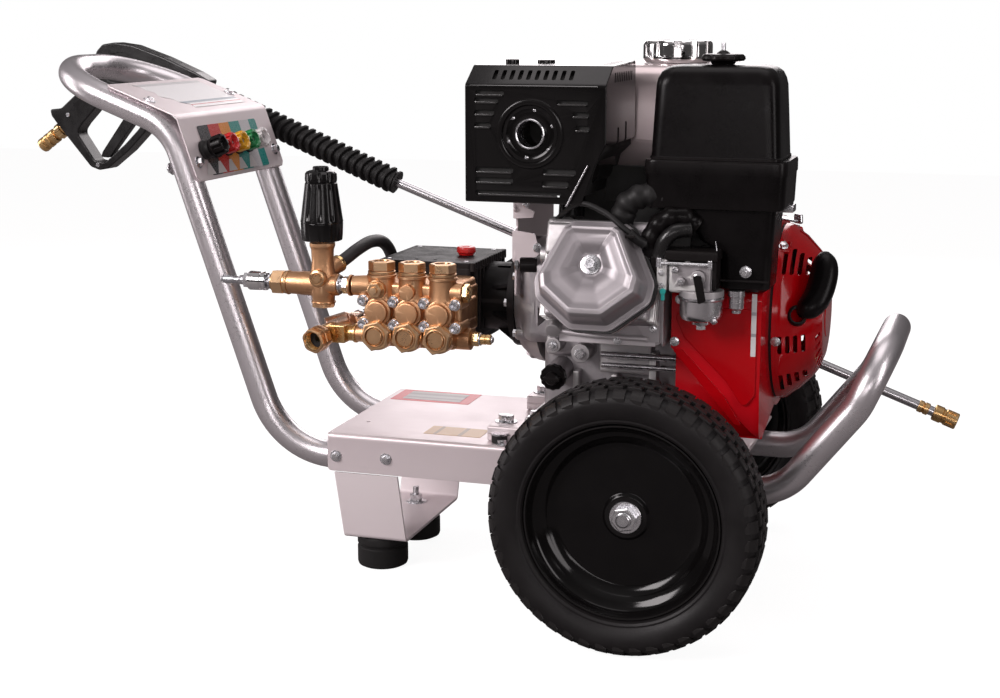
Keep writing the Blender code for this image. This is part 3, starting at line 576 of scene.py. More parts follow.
TYRE = surface(
    "tyre_rubber", (0.0065, 0.0054, 0.0057), (0.01, 0.0086, 0.009), (0.42, 0.6), 0.0, patch=24, grain=1100,
    bump=(0.35, 0.00025), edge=(0.013, 0.0115, 0.0115), specular=0.26,
)
HOSE = surface(
    "hose_rubber", (0.02, 0.018, 0.019), (0.03, 0.027, 0.028), (0.42, 0.58), 0.0, patch=60, grain=1500,
    bump=(0.35, 0.0002),
)
CAST_BRASS = surface(
    "cast_brass", (0.66, 0.37, 0.2), (0.54, 0.295, 0.155), (0.32, 0.5), 1.0, patch=45, grain=1300,
    bump=(0.5, 0.00035), edge=(0.82, 0.52, 0.3), dirt=0.35,
)
BRASS = surface(
    "machined_brass", (0.76, 0.46, 0.19), (0.64, 0.38, 0.15), (0.2, 0.34), 1.0, patch=60, grain=700,
    bump=(0.12, 0.00008), edge=(0.88, 0.62, 0.32), dirt=0.2,
)
BRONZE = surface(
    "bronze_caps", (0.58, 0.33, 0.165), (0.47, 0.265, 0.13), (0.26, 0.4), 1.0, patch=70, grain=800,
    bump=(0.18, 0.00012), edge=(0.8, 0.52, 0.3), dirt=0.35,
)
PINK_BRASS = surface(
    "bare_brass", (0.8, 0.56, 0.44), (0.68, 0.47, 0.37), (0.24, 0.36), 1.0, patch=60, grain=700,
    bump=(0.12, 0.00008), edge=(0.9, 0.68, 0.56), dirt=0.15,
)
KNOB_BLACK = surface(
    "glossy_black_plastic", (0.004, 0.0036, 0.0037), (0.006, 0.0055, 0.0056), (0.14, 0.22), 0.0, patch=40,
    grain=900,
    bump=(0.08, 0.00008), edge=(0.015, 0.014, 0.014), specular=0.28,
)
ZINC = surface(
    "zinc_plated_steel", (0.66, 0.66, 0.68), (0.52, 0.52, 0.55), (0.18, 0.34), 1.0, patch=90, grain=900,
    bump=(0.12, 0.0001), edge=(0.82, 0.82, 0.84), dirt=0.2,
)
CHROME = surface(
    "polished_chrome", (0.8, 0.79, 0.79), (0.74, 0.73, 0.73), (0.05, 0.12), 1.0, patch=60, grain=600,
    bump=(0.04, 0.00005), edge=(0.9, 0.9, 0.9),
)
STEEL = surface(
    "drawn_steel", (0.66, 0.65, 0.67), (0.58, 0.57, 0.59), (0.2, 0.3), 1.0, patch=20, grain=500,
    stretch=(0.1, 1, 1), bump=(0.008, 0.00003),
)
RED_PAINT = surface(
    "gloss_red_paint", (0.4, 0.0006, 0.0034), (0.34, 0.0004, 0.0026), (0.14, 0.2), 0.0, patch=12, grain=900,
    bump=(0.05, 0.00006), coat=0.18, coat_roughness=0.03, edge=(0.5, 0.006, 0.012), specular=0.16,
)
# Near-black and almost matt: the colour of some dark parts, and painted shade on the sheet inside the muffler
# guard, the screen under the tank and the ring in the blower's gap.
DARK_AND_SHADE = surface(
    "near_black_and_painted_shade", (0.006, 0.006, 0.006), (0.012, 0.011, 0.01), (0.6, 0.8), 0.0, patch=60, grain=800,
    bump=(0.2, 0.0002),
)
CERAMIC = surface(
    "plunger_ceramic", (0.82, 0.8, 0.75), (0.78, 0.76, 0.71), (0.1, 0.18), 0.0, patch=60, grain=900,
    bump=(0.03, 0.00005),
)


def moulded(name, colour, second):
    return surface(name, colour, second, (0.26, 0.36), patch=80, grain=1300, bump=(0.15, 0.0001), coat=0.25)


PLASTIC = {
    "red": moulded("red_plastic", (0.62, 0.012, 0.012), (0.52, 0.01, 0.01)),
    "yellow": moulded("yellow_plastic", (0.8, 0.42, 0.015), (0.72, 0.36, 0.012)),
    "green": moulded("green_plastic", (0.01, 0.26, 0.075), (0.008, 0.21, 0.06)),
    "white": moulded("white_plastic", (0.74, 0.7, 0.7), (0.66, 0.63, 0.63)),
}
TEAL = moulded("teal_plastic", (0.02, 0.42, 0.38), (0.015, 0.34, 0.31))


def striped(name, axis, stops, paper, roughness=0.35):
    """A printed label: bands along one axis of the model's frame, from (start, colour) stops in metres."""
    material, tree, shader = nodes_of(name)
    coordinates = add_node(tree, "ShaderNodeTexCoord")
    split = add_node(tree, "ShaderNodeSeparateXYZ", {"Vector": coordinates.outputs["Object"]})
    value = split.outputs[axis]
    colour = paper
    for start, band in stops:
        step = add_node(tree, "ShaderNodeMath", {0: value, 1: start}, operation="GREATER_THAN").outputs[0]
        colour = blended(tree, step, colour, band)
    grain = noise_of(tree, 900.0)
    colour = blended(tree, ranged(tree, grain, 0.0, 0.1), colour, (0.3, 0.3, 0.3))
    tree.links.new(colour, shader.inputs["Base Color"])
    tree.links.new(ranged(tree, grain, roughness - 0.06, roughness + 0.06), shader.inputs["Roughness"])
    shader.inputs["Coat Weight"].default_value = 0.1
    shader.inputs["Coat Roughness"].default_value = 0.1
    bumped(tree, shader, grain, 0.05, 0.00005)
    return material


# ---------------------------------------------------------------- wheels
WHEEL_R, WHEEL_W, WHEEL_Y, BEAD_R = 0.165, 0.086, 0.2696, 0.119
AXLE_Z, AXLE_R = WHEEL_R, 0.0095
NUT_END = 0.02
TREAD_STEPS = 46


def tyre_shape(centre, out):
    """A rounded carcass with four staggered rows of blocks and ribbed shoulders."""
    half = WHEEL_W / 2
    base = WHEEL_R - 0.0045
    carcass = [
        (BEAD_R, 0.0288), (0.1215, 0.0345), (0.124, 0.0362), (0.1262, 0.0362), (0.1275, 0.0372), (0.133, 0.0408),
        (0.14, half - 0.0008), (0.1465, half), (0.152, 0.0418), (0.156, 0.0388), (base - 0.0022, 0.0335),
        (base, 0.029),
    ]
    carcass += [(r, -h) for r, h in reversed(carcass)]
    shapes = [turned(carcass, centre, out, 128)]
    pitch = 2 * math.pi / TREAD_STEPS
    turn = axes_to(out)

    def block(a0, a1, y0, y1, low, top, inset=0.0009):
        bm = bmesh.new()
        rings = []
        for r, k in ((low, 0.0), (top - 0.0006, 0.0), (top, inset)):
            da, dy = k / r, k
            corners = ((a0 + da, y0 + dy), (a1 - da, y0 + dy), (a1 - da, y1 - dy), (a0 + da, y1 - dy))
            rings.append(
                [
                    bm.verts.new(Vector(centre) + turn @ Vector((r * math.cos(a), r * math.sin(a), y)))
                    for a, y in corners
                ]
            )
        for low_ring, high_ring in zip(rings, rings[1:]):
            for i in range(4):
                j = (i + 1) % 4
                bm.faces.new((low_ring[i], low_ring[j], high_ring[j], high_ring[i]))
        bm.faces.new(rings[-1])
        bm.faces.new(list(reversed(rings[0])))
        return solid(bm)

    for row, (y0, y1, phase) in enumerate(
        ((-0.0275, -0.015, 0.0), (-0.0135, -0.0006, 0.5), (0.0006, 0.0135, 0.0), (0.015, 0.0275, 0.5))
    ):
        top = WHEEL_R - (0.0006 if row in (0, 3) else 0.0)
        for i in range(TREAD_STEPS):
            a = (i + phase) * pitch
            shapes.append(block(a, a + pitch * 0.76, y0, y1, WHEEL_R - 0.007, top))
    for side in (-1, 1):
        for i in range(TREAD_STEPS):
            a = (i + 0.25) * pitch
            lug = bmesh.new()
            rings = []
            for r, h in (
                (0.149, half - 0.0004), (0.1535, 0.0427), (0.1575, 0.0403), (0.161, 0.0352), (0.1622, 0.03)
            ):
                wide = 0.33 if r > 0.15 else 0.16
                inner = r - 0.0035
                h_in = h - 0.003
                ring = []
                for angle, radius, height in (
                    (a, r, h), (a + pitch * wide * 2, r, h), (a + pitch * wide * 2, inner, h_in), (a, inner, h_in)
                ):
                    ring.append(
                        lug.verts.new(
                            Vector(centre) + turn @ Vector(
                                (radius * math.cos(angle), radius * math.sin(angle), side * height)
                            )
                        )
                    )
                rings.append(ring)
            for low_ring, high_ring in zip(rings, rings[1:]):
                for k in range(4):
                    j = (k + 1) % 4
                    lug.faces.new((low_ring[k], low_ring[j], high_ring[j], high_ring[k]))
            lug.faces.new(rings[0])
            lug.faces.new(rings[-1])
            shapes.append(solid(lug))
    return join(*shapes)


def make_wheel(side, name):
    out = Vector((0, side, 0))
    centre = Vector((0, side * WHEEL_Y, AXLE_Z))
    body = f"wheel_{name}"
    piece(f"tyre_{name}_treaded", tyre_shape(centre, out), body, "tyre", TYRE, f"tyre_{name}")
    rim_r, bore = BEAD_R - 0.0003, AXLE_R + 0.0003
    outer = [
        (bore, 0.0035), (0.0245, 0.0035), (0.0262, 0.003), (0.0285, 0.0008), (0.03, 0.0002), (0.058, 0.0),
        (0.0595, 0.0004), (0.084, 0.0006), (0.087, 0.0012), (0.0925, 0.0042), (0.0965, 0.0085), (0.099, 0.012),
        (0.103, 0.015), (0.1075, 0.017), (0.111, 0.0205), (0.1135, 0.025), (0.115, 0.029), (0.1165, 0.0312),
        (0.1182, 0.0312), (rim_r, 0.03), (rim_r, -0.03), (0.117, -0.0312), (0.115, -0.03), (0.1135, -0.024),
        (0.108, -0.011), (0.104, -0.007), (0.09, -0.0042), (0.026, -0.004), (0.0215, -0.006),
        (0.02, -0.047), (0.019, -0.048), (bore, -0.048),
    ]
    piece(f"rim_{name}_dished", turned(outer, centre, out, 128), body, "black_paint", GLOSS_BLACK, f"rim_{name}")
    seat = centre + out * 0.0036
    end = centre + out * NUT_END
    washer = pipe(seat, seat + out * 0.0026, 0.0195, bore, 48, 0.0004)
    nut = combine(
        hexagon(seat + out * 0.0024, end - out * 0.0035, 0.027, 0.0016, 0.2),
        cut=[cylinder(centre, end + out, bore, sides=32)],
    )
    fixed(f"axle_nut_{name}_with_washer", join(washer, nut), "zinc_steel", ZINC, f"axle_nut_{name}")
    return end


def make_running_gear():
    far_end = make_wheel(1, "far")
    near_end = make_wheel(-1, "near")
    n = (far_end - near_end).length
    profile = [(0, 0.0)]
    profile += [(AXLE_R - 0.0022, 0.0), (AXLE_R - 0.0008, 0.0014)]
    thread = []
    for i in range(14):
        h = 0.0016 + i * 0.0016
        thread += [(AXLE_R, h), (AXLE_R - 0.0008, h + 0.0008)]
    profile += thread + [(AXLE_R, 0.026), (AXLE_R, n - 0.026)] + [(r, n - h) for r, h in reversed(thread)]
    profile += [(AXLE_R - 0.0008, n - 0.0014), (AXLE_R - 0.0022, n), (0, n)]
    fixed("axle_threaded", turned(profile, near_end, far_end - near_end, 48), "zinc_steel", ZINC, "axle")


# ---------------------------------------------------------------- base plate, bracket and feet
PLATE_LEFT, PLATE_RIGHT, PLATE_HALF = -0.442, 0.114, 0.1395
PLATE_TOP, PLATE_SKIRT, SHEET = 0.201, 0.149, 0.004


def make_base_plate():
    """The folded sheet: rounded folds, slanted ends below the loop, holes and the bolts in them."""
    slant = 0.031
    side = [
        (PLATE_LEFT, PLATE_SKIRT), (PLATE_LEFT, PLATE_TOP), (PLATE_RIGHT, PLATE_TOP),
        (PLATE_RIGHT - slant, PLATE_SKIRT)
    ]
    side = rounded_outline(side, [0.006, 0.0, 0.004, 0.012])
    shell = plate(side, PLATE_HALF * 2, (0, 0, 0), X, Z)
    section = rounded_outline(
        [(-PLATE_HALF, 0.1), (-PLATE_HALF, PLATE_TOP), (PLATE_HALF, PLATE_TOP), (PLATE_HALF, 0.1)],
        [0, 0.007, 0.007, 0], 7
    )
    inner = rounded_outline(
        [
            (-PLATE_HALF + SHEET, 0.05), (-PLATE_HALF + SHEET, PLATE_TOP - SHEET),
            (PLATE_HALF - SHEET, PLATE_TOP - SHEET),
            (PLATE_HALF - SHEET, 0.05),
        ],
        [0, 0.004, 0.004, 0],
    )
    outer_block = plate(section, 1.2, (0, 0, 0), Y, Z)
    both = shell.modifiers.new("both", "BOOLEAN")
    both.operation = "INTERSECT"
    both.object = outer_block
    shell = evaluated(shell)
    discard(outer_block)
    top_corners = [
        (PLATE_LEFT - 0.01, -PLATE_HALF - 0.01), (PLATE_LEFT + 0.012, -PLATE_HALF - 0.01),
        (PLATE_LEFT - 0.01, -PLATE_HALF + 0.012),
    ]
    cuts = [plate(inner, 1.2, (0, 0, 0), Y, Z)]
    cuts.append(bar_y(0, AXLE_Z, -0.2, 0.2, AXLE_R + 0.0003, sides=32))
    for sign in (-1, 1):
        corner = [(x, y * -sign) for x, y in top_corners]
        cuts.append(plate(corner, 0.02, (0, 0, PLATE_TOP), X, Y))
    hole = bar_z(-0.412, -0.066, PLATE_TOP - 0.01, PLATE_TOP + 0.01, 0.003, sides=24)
    cuts.append(hole)
    fixed(
        "base_plate_folded", combine(shell, cut=cuts, rounding=0.0008), "aluminium", SHEET_ALUMINIUM, "base_plate"
    )
    fasteners = []
    for x, z in ((-0.4295, 0.17), (-0.358, 0.1715), (0.063, 0.178), (0.094, 0.19)):
        for sign in (-1, 1):
            fasteners.append(bolt((x, sign * PLATE_HALF, z), Y * sign, 0.0095, 0.0045, 0.0095 * 0.85))
    for x in (-0.203, 0.034):
        for y in (-0.09, 0.09):
            fasteners.append(bolt((x, y, 0.2222), Z, 0.013, 0.008, 0.012))
    for x, y in ((-0.2, -0.128), (-0.2, 0.128)):
        fasteners.append(bolt((x, y, PLATE_TOP), Z, 0.01, 0.005, 0.009))
    zinc("plate_bolts", *fasteners)
    sticker = sheet_on((-0.373, 0.1, PLATE_TOP), X, Y, rounded_rectangle(-0.06, -0.032, 0.06, 0.032, 0.002))
    red, grey, tan = (0.62, 0.06, 0.07), (0.36, 0.33, 0.33), (0.62, 0.39, 0.2)
    fixed("plate_sticker_frame", sticker, "white_plastic", striped("plate_frame_print", 1, [(0.0, red)], red, 0.4))
    sticker = sheet_on(
        (-0.373, 0.1, PLATE_TOP + 0.0003), X, Y, rounded_rectangle(-0.044, -0.024, 0.044, 0.024, 0.002)
    )
    bands = [(0.086, (0.24, 0.21, 0.22)), (0.092, grey), (0.104, (0.26, 0.23, 0.23)), (0.115, grey)]
    fixed("plate_sticker_middle", sticker, "white_plastic", striped("plate_sticker_print", 1, bands, grey, 0.4))
    sticker = sheet_on((-0.278, -0.083, PLATE_TOP), X, Y, rounded_rectangle(-0.04, -0.021, 0.04, 0.021, 0.002))
    bands = [(0.048, (0.36, 0.24, 0.15)), (0.053, tan), (0.082, (0.36, 0.24, 0.15)), (0.088, tan)]
    fixed("plate_sticker_tan", sticker, "white_plastic", striped("plate_tan_print", 0, bands, tan, 0.4))


def make_foot_bracket():
    left, right = -0.434, -0.343
    top, bottom, wide, narrow = 0.1467, 0.046, 0.137, 0.107
    outer = [(-wide, top), (-narrow, bottom), (narrow, bottom), (wide, top)]
    inner = [
        (wide - SHEET, top), (narrow - SHEET * 0.6, bottom + SHEET), (-narrow + SHEET * 0.6, bottom + SHEET),
        (-wide + SHEET, top)
    ]
    outline = rounded_outline(outer + inner, [0, 0.01, 0.01, 0, 0, 0.006, 0.006, 0], 6)
    trough = plate(outline, right - left, ((left + right) / 2, 0, 0), Y, Z, rounding=0.001)
    # lighter than the plate's aluminium: painted light on the bracket in the plate's shade
    fixed("foot_bracket_folded", trough, "aluminium", LIT_BRACKET_ALUMINIUM, "foot_bracket")
    fasteners = []
    for y in (-0.066, 0.066):
        seat = Vector(((left + right) / 2 - 0.005, y, bottom + SHEET))
        fasteners += [
            star_washer(seat, Z, 0.015),
            bolt(seat + Z * 0.001, Z, 0.015, 0.01, 0.013),
            cylinder(seat, seat + Z * 0.023, 0.0042, sides=24, rounding=0.0006),
        ]
    zinc("bracket_bolts", *fasteners)
    for name, y in (("near", -0.066), ("far", 0.066)):
        foot = [
            (0, bottom - 0.0003), (0.03, bottom - 0.0003), (0.0338, bottom - 0.0018), (0.035, 0.041),
            (0.035, 0.033),
            (0.0334, 0.0315), (0.0334, 0.0285), (0.035, 0.027), (0.035, 0.0055), (0.0338, 0.002), (0.03, 0.0),
            (0.012, 0.0), (0.0105, 0.004), (0, 0.004),
        ]
        shape = turned(foot, ((left + right) / 2 - 0.005, y, 0), Z, 64)
        fixed(f"foot_{name}_moulded", shape, "rubber", RUBBER, f"foot_{name}")


# ---------------------------------------------------------------- handle, loop and panel
TUBE_R, TUBE_Y = 0.018, 0.117
HANDLE_FOOT, HANDLE_HEEL = Vector((-0.385, 0, 0.165)), Vector((-0.5195, 0, 0.165))
HANDLE_KNEE, HANDLE_END = Vector((-0.6683, 0, 0.602)), Vector((-0.862, 0, 0.676))
ARM = Vector((0, -TUBE_Y, 0))
STEEP = (HANDLE_KNEE - HANDLE_HEEL).normalized()
SHALLOW = (HANDLE_END - HANDLE_KNEE).normalized()
STEEP_OUT = Vector((STEEP.z, 0, -STEEP.x))
SHALLOW_OUT = Vector((SHALLOW.z, 0, -SHALLOW.x))
GUN_Y, GUN_HALF = 0.175, 0.015


def make_handle_frame():
    near = [HANDLE_FOOT + ARM, HANDLE_HEEL + ARM, HANDLE_KNEE + ARM, HANDLE_END + ARM]
    path = rounded_path(near + mirrored(near), [0.108, 0.08, 0.1, 0.1, 0.08, 0.108], math.radians(4))
    peg = HANDLE_KNEE + SHALLOW * 0.14 - ARM
    peg_end = Vector((peg.x, GUN_Y - GUN_HALF - 0.0003, peg.z))
    shape = combine(
        tube(path, TUBE_R, 40),
        add=[
            cylinder(peg, peg_end, 0.007, sides=32, rounding=0.001),
            cylinder(peg + Y * 0.016, peg + Y * 0.021, 0.011, sides=32, rounding=0.001)
        ],
    )
    fixed("handle_bent_tube", shape, "aluminium", TUBE_ALUMINIUM, "handle_frame")


LANCE_TAIL = Vector((-0.75, GUN_Y, 0.6262))
LANCE_BEND = Vector((-0.455, GUN_Y, 0.5037))
LANCE_TIP = Vector((0.36, GUN_Y, 0.201))
LANCE_R, SOCKET = 0.0067, 0.018
LANCE_SLOPE = (LANCE_TIP - LANCE_BEND).normalized()
LANCE_BACK = (LANCE_TAIL - LANCE_BEND).normalized()


def make_front_loop():
    near = [(0.05, -TUBE_Y, 0.165), (0.1604, -TUBE_Y, 0.165), (0.25, -TUBE_Y, 0.2795), (0.281, -TUBE_Y, 0.35)]
    path = rounded_path(near + mirrored(near), [0.072, 0.09, 0.064, 0.064, 0.09, 0.072], math.radians(4))
    fixed("front_loop_bent_tube", tube(path, TUBE_R, 40), "aluminium", TUBE_ALUMINIUM, "front_loop")
    seat = LANCE_BEND + LANCE_SLOPE * ((0.236 - LANCE_BEND.x) / LANCE_SLOPE.x)
    low = seat.z - LANCE_R
    clip = [
        (TUBE_Y + 0.004, low - 0.012), (GUN_Y + 0.016, low - 0.012), (GUN_Y + 0.016, low + 0.006),
        (GUN_Y + 0.0125, low + 0.006)
    ]
    clip += [(GUN_Y + 0.0125, low - 0.0055), (TUBE_Y + 0.004, low - 0.0055)]
    clip = rounded_outline(clip, [0, 0.006, 0.0015, 0.0015, 0.004, 0], 6)
    cradle = plate(clip, 0.024, (0.236, 0, 0), Y, Z, rounding=0.0008)
    fixed("lance_cradle", cradle, "aluminium", SHEET_ALUMINIUM)
    end = bolt((0.066, -TUBE_Y - TUBE_R * 0.2, 0.165 + TUBE_R * 0.97), Z, 0.01, 0.005, 0.008)
    fixed("loop_bolts", end, "zinc_steel", ZINC)


PANEL_HALF, PANEL_SHEET, PANEL_LOW_RUN, PANEL_HIGH_RUN = 0.134, 0.002, 0.0914, 0.1124
NOZZLE_MIDDLE, NOZZLE_PITCH = -0.028, 0.032


def panel_fold(offset):
    """Where the panel folds, at a distance from the tube's centre line."""
    return HANDLE_KNEE + (STEEP_OUT + SHALLOW_OUT) * offset / (1 + STEEP_OUT.dot(SHALLOW_OUT))


PANEL_UNDER = panel_fold(TUBE_R + 0.0003)
PANEL_OVER = panel_fold(TUBE_R + 0.0003 + PANEL_SHEET)


def sheet_on(origin, right, up, outline, thickness=0.0004):
    """A thin label or gasket lying on a face."""
    normal = Vector(right).cross(Vector(up)).normalized()
    return plate(outline, thickness, Vector(origin) + normal * thickness / 2, right, up)


def make_control_panel():
    """The folded panel, its bolts, the upper label and the coloured bands of the lower one."""
    over = PANEL_OVER
    fold = []
    bend_steps = 6
    for low_point, reverse in ((PANEL_UNDER, False), (over, True)):
        start, end = low_point - STEEP * PANEL_LOW_RUN, low_point + SHALLOW * PANEL_HIGH_RUN
        arc = []
        reach = 0.006
        a, b = low_point - STEEP * reach, low_point + SHALLOW * reach
        for k in range(bend_steps + 1):
            t = k / bend_steps
            arc.append(a * (1 - t) ** 2 + low_point * (2 * t * (1 - t)) + b * t * t)
        run = [start, *arc, end]
        fold += reversed(run) if reverse else run
    sheet = plate([(p.x, p.z) for p in fold], PANEL_HALF * 2, (0, 0, 0), X, Z, rounding=0.0006)
    cuts = []
    for sign in (-1, 1):
        for inward, point in ((STEEP, over - STEEP * PANEL_LOW_RUN), (-SHALLOW, over + SHALLOW * PANEL_HIGH_RUN)):
            corner = Vector((point.x, sign * PANEL_HALF, point.z))
            outline = [(-0.004, -0.004), (0.011, -0.004), (-0.004, 0.011)]
            cuts.append(plate(outline, 0.02, corner, inward, Y * -sign))
    fixed("panel_folded", combine(sheet, cut=cuts), "aluminium", SHEET_ALUMINIUM, "control_panel")
    bolts = [bolt(over - STEEP * 0.062 - Y * 0.117 - STEEP_OUT * 0.0415, -STEEP_OUT, 0.01, 0.0035, 0.0085)]
    for y in (-0.117, 0.117):
        bolts += [
            bolt(over - STEEP * 0.066 + Y * y, STEEP_OUT, 0.01, 0.006, 0.0085),
            bolt(over + SHALLOW * 0.052 + Y * y, SHALLOW_OUT, 0.009, 0.0035, 0.0085),
        ]
    zinc("panel_bolts", *bolts)
    # the upper label: a pale sheet with a wavy end and thin stripes
    middle = over + SHALLOW * 0.058 + SHALLOW_OUT * 0.0002
    wave = []
    steps = 26
    for i in range(steps + 1):
        t = i / steps
        wave.append(
            (-0.044 + 0.084 * t, -0.082 + 0.034 * t + 0.005 * math.sin(t * 9.0) + 0.004 * math.sin(t * 23.0))
        )
    outline = wave + [(0.04, 0.104), (-0.044, 0.104)]
    label = sheet_on(middle, -SHALLOW, Y, outline)
    label_white, grey = (0.88, 0.86, 0.87), (0.6, 0.58, 0.59)
    blue, red = (0.3, 0.34, 0.4), (0.62, 0.12, 0.14)
    bands = [(-0.388, label_white), (-0.336, blue), (-0.33, label_white), (-0.3255, red), (-0.3235, label_white)]
    paper = striped("panel_label_print", 0, bands, grey)
    fixed("panel_label", label, "white_plastic", paper)
    # the lower label: a band of five colours, with pale wedges along its foot
    face = over - STEEP * 0.051 + STEEP_OUT * 0.0002
    strip = sheet_on(face, Y, STEEP, rounded_rectangle(-0.09, -0.036, 0.086, 0.034, 0.004))
    black, red, orange = (0.03, 0.03, 0.035), (0.55, 0.025, 0.02), (0.78, 0.28, 0.03)
    teal, white = (0.02, 0.28, 0.25), (0.62, 0.6, 0.62)
    bands = [(-0.06, red), (-0.028, orange), (0.002, teal), (0.034, white), (0.064, teal)]
    fixed("nozzle_label", strip, "white_plastic", striped("nozzle_label_print", 1, bands, black, 0.28))
    wedges = []
    for i in range(5):
        y = NOZZLE_MIDDLE + (i - 2) * NOZZLE_PITCH
        wedge = [(y - 0.003, -0.018), (y + 0.003, -0.018), (y + 0.0125, -0.0345), (y - 0.0125, -0.0345)]
        wedges.append(sheet_on(face + STEEP_OUT * 0.0004, Y, STEEP, wedge, 0.0002))
    fixed("nozzle_label_wedges", join(*wedges), "white_plastic", PLASTIC["white"])


def make_nozzles():
    """Five quick-connect nozzles in rubber mounts: a notched collar round a steel orifice and plug."""
    face = PANEL_OVER - STEEP * 0.051
    mounts, cores = [], []
    for i, colour in enumerate(("black", "red", "yellow", "green", "white")):
        base = face + Vector((0, NOZZLE_MIDDLE + (i - 2) * NOZZLE_PITCH, 0)) + STEEP_OUT * 0.0007
        mount = [
            (0, 0.0128), (0.0085, 0.0128), (0.0112, 0.0118), (0.012, 0.01), (0.012, 0.006), (0.0135, 0.004),
            (0.0135, 0.0), (0, 0.0)
        ]
        mounts.append(turned(mount, base, STEEP_OUT, 40))
        core = [
            (0, 0.0285), (0.0015, 0.0285), (0.0018, 0.0275), (0.0036, 0.0275), (0.004, 0.0268), (0.004, 0.012),
            (0, 0.012)
        ]
        cores.append(turned(core, base, STEEP_OUT, 32))
        collar = [
            (0.0042, 0.0295), (0.0042, 0.013), (0.0108, 0.013), (0.012, 0.0142), (0.0124, 0.016), (0.0138, 0.018),
            (0.014, 0.03), (0.0134, 0.0322), (0.0098, 0.0326), (0.0088, 0.0316), (0.008, 0.0295),
        ]
        shape = turned(collar, base, STEEP_OUT, 48)
        notch = box((-0.002, 0.0112, 0.019), (0.002, 0.02, 0.04), 0.0004, 1)
        notches = copies(
            notch, [placed(STEEP_OUT, base) @ Matrix.Rotation(math.radians(20 + 40 * k), 4, "Z") for k in range(9)]
        )
        shape = combine(shape, cut=[notches], rounding=0.0003, segments=1)
        material = MATTE_BLACK if colour == "black" else PLASTIC[colour]
        slot = "black_plastic" if colour == "black" else f"{colour}_plastic"
        fixed(f"nozzle_{colour}_collar", shape, slot, material, f"nozzle_{colour}")
    fixed("nozzle_mounts", join(*mounts), "rubber", RUBBER)
    zinc("nozzle_cores", *cores)


# ---------------------------------------------------------------- engine
CRANK = Vector((0, 0, 0.375))
CYLINDER_X = -0.052
LEAN = math.radians(20)
BORE_AXIS = Vector((0, -math.cos(LEAN), math.sin(LEAN)))
BORE_UP = Vector((0, math.sin(LEAN), math.cos(LEAN)))
ENGINE_LEFT, ENGINE_RIGHT, SHROUD_RIGHT = -0.2035, 0.0295, 0.1385
CYLINDER_TOP, HEAD_TOP = 0.17, 0.228
PLATE_LIFT = 0.2225


def spoke(degrees):
    """A direction square to the crankshaft: 0 is the far side, 90 is up, 180 is the near side."""
    angle = math.radians(degrees)
    return Vector((0, math.cos(angle), math.sin(angle)))


def along_crank(start, end, radius, sides=64, rounding=0.0):
    return bar_x(0, CRANK.z, start, end, radius, sides=sides, rounding=rounding)


def bore_frame(along, across=0.0):
    """From (x, up, out) of the leaning cylinder to the machine's frame, from the crankshaft on."""
    turn = Matrix((X, BORE_UP, X.cross(BORE_UP))).transposed().to_4x4()
    if X.cross(BORE_UP).dot(BORE_AXIS) < 0:
        turn = Matrix((X, BORE_UP, BORE_AXIS)).transposed().to_4x4()
    return at(CRANK + X * (CYLINDER_X + across) + BORE_AXIS * along) @ turn


def bore_box(low, high, rounding=0.0, segments=3):
    """A block in the leaning cylinder's frame: x from its centre line, up across it, out along it."""
    return moved(box(low, high, rounding, segments), bore_frame(0.0))


def make_engine_rails():
    for name, low, high in (("near", -0.118, -0.062), ("far", 0.062, 0.118)):
        web = box((-0.224, low, 0.2013), (0.055, high, 0.222), 0.003)
        groove = box((-0.3, low + 0.006, 0.205), (0.1, high - 0.006, 0.2085), 0.001, 1)
        lip = box((-0.3, low - 0.01, 0.2105), (0.1, low + 0.0012, 0.2125))
        lip2 = box((-0.3, high - 0.0012, 0.2105), (0.1, high + 0.01, 0.2125))
        rail = combine(web, cut=[groove, lip, lip2])
        fixed(f"engine_rail_{name}_section", rail, "aluminium", SHEET_ALUMINIUM, f"engine_rail_{name}")
    isolators, discs, nuts = [], [], []
    x = -0.206
    for sign in (-1, 1):
        y = sign * 0.128 * 0.93
        isolators.append(bar_z(x, y, 0.2013, 0.2125, 0.0105, sides=32, rounding=0.001))
        discs.append(bar_z(x, y, 0.212, 0.2145, 0.0115, sides=32, rounding=0.0005))
    for x in (-0.2085, 0.043):
        for y in (-0.09, 0.09):
            nuts.append(bolt((x, y, 0.2222), Z, 0.0135, 0.0085, 0.0125))
    fixed("rail_isolators", join(*isolators), "rubber", RUBBER)
    zinc("rail_discs", *discs, *nuts)


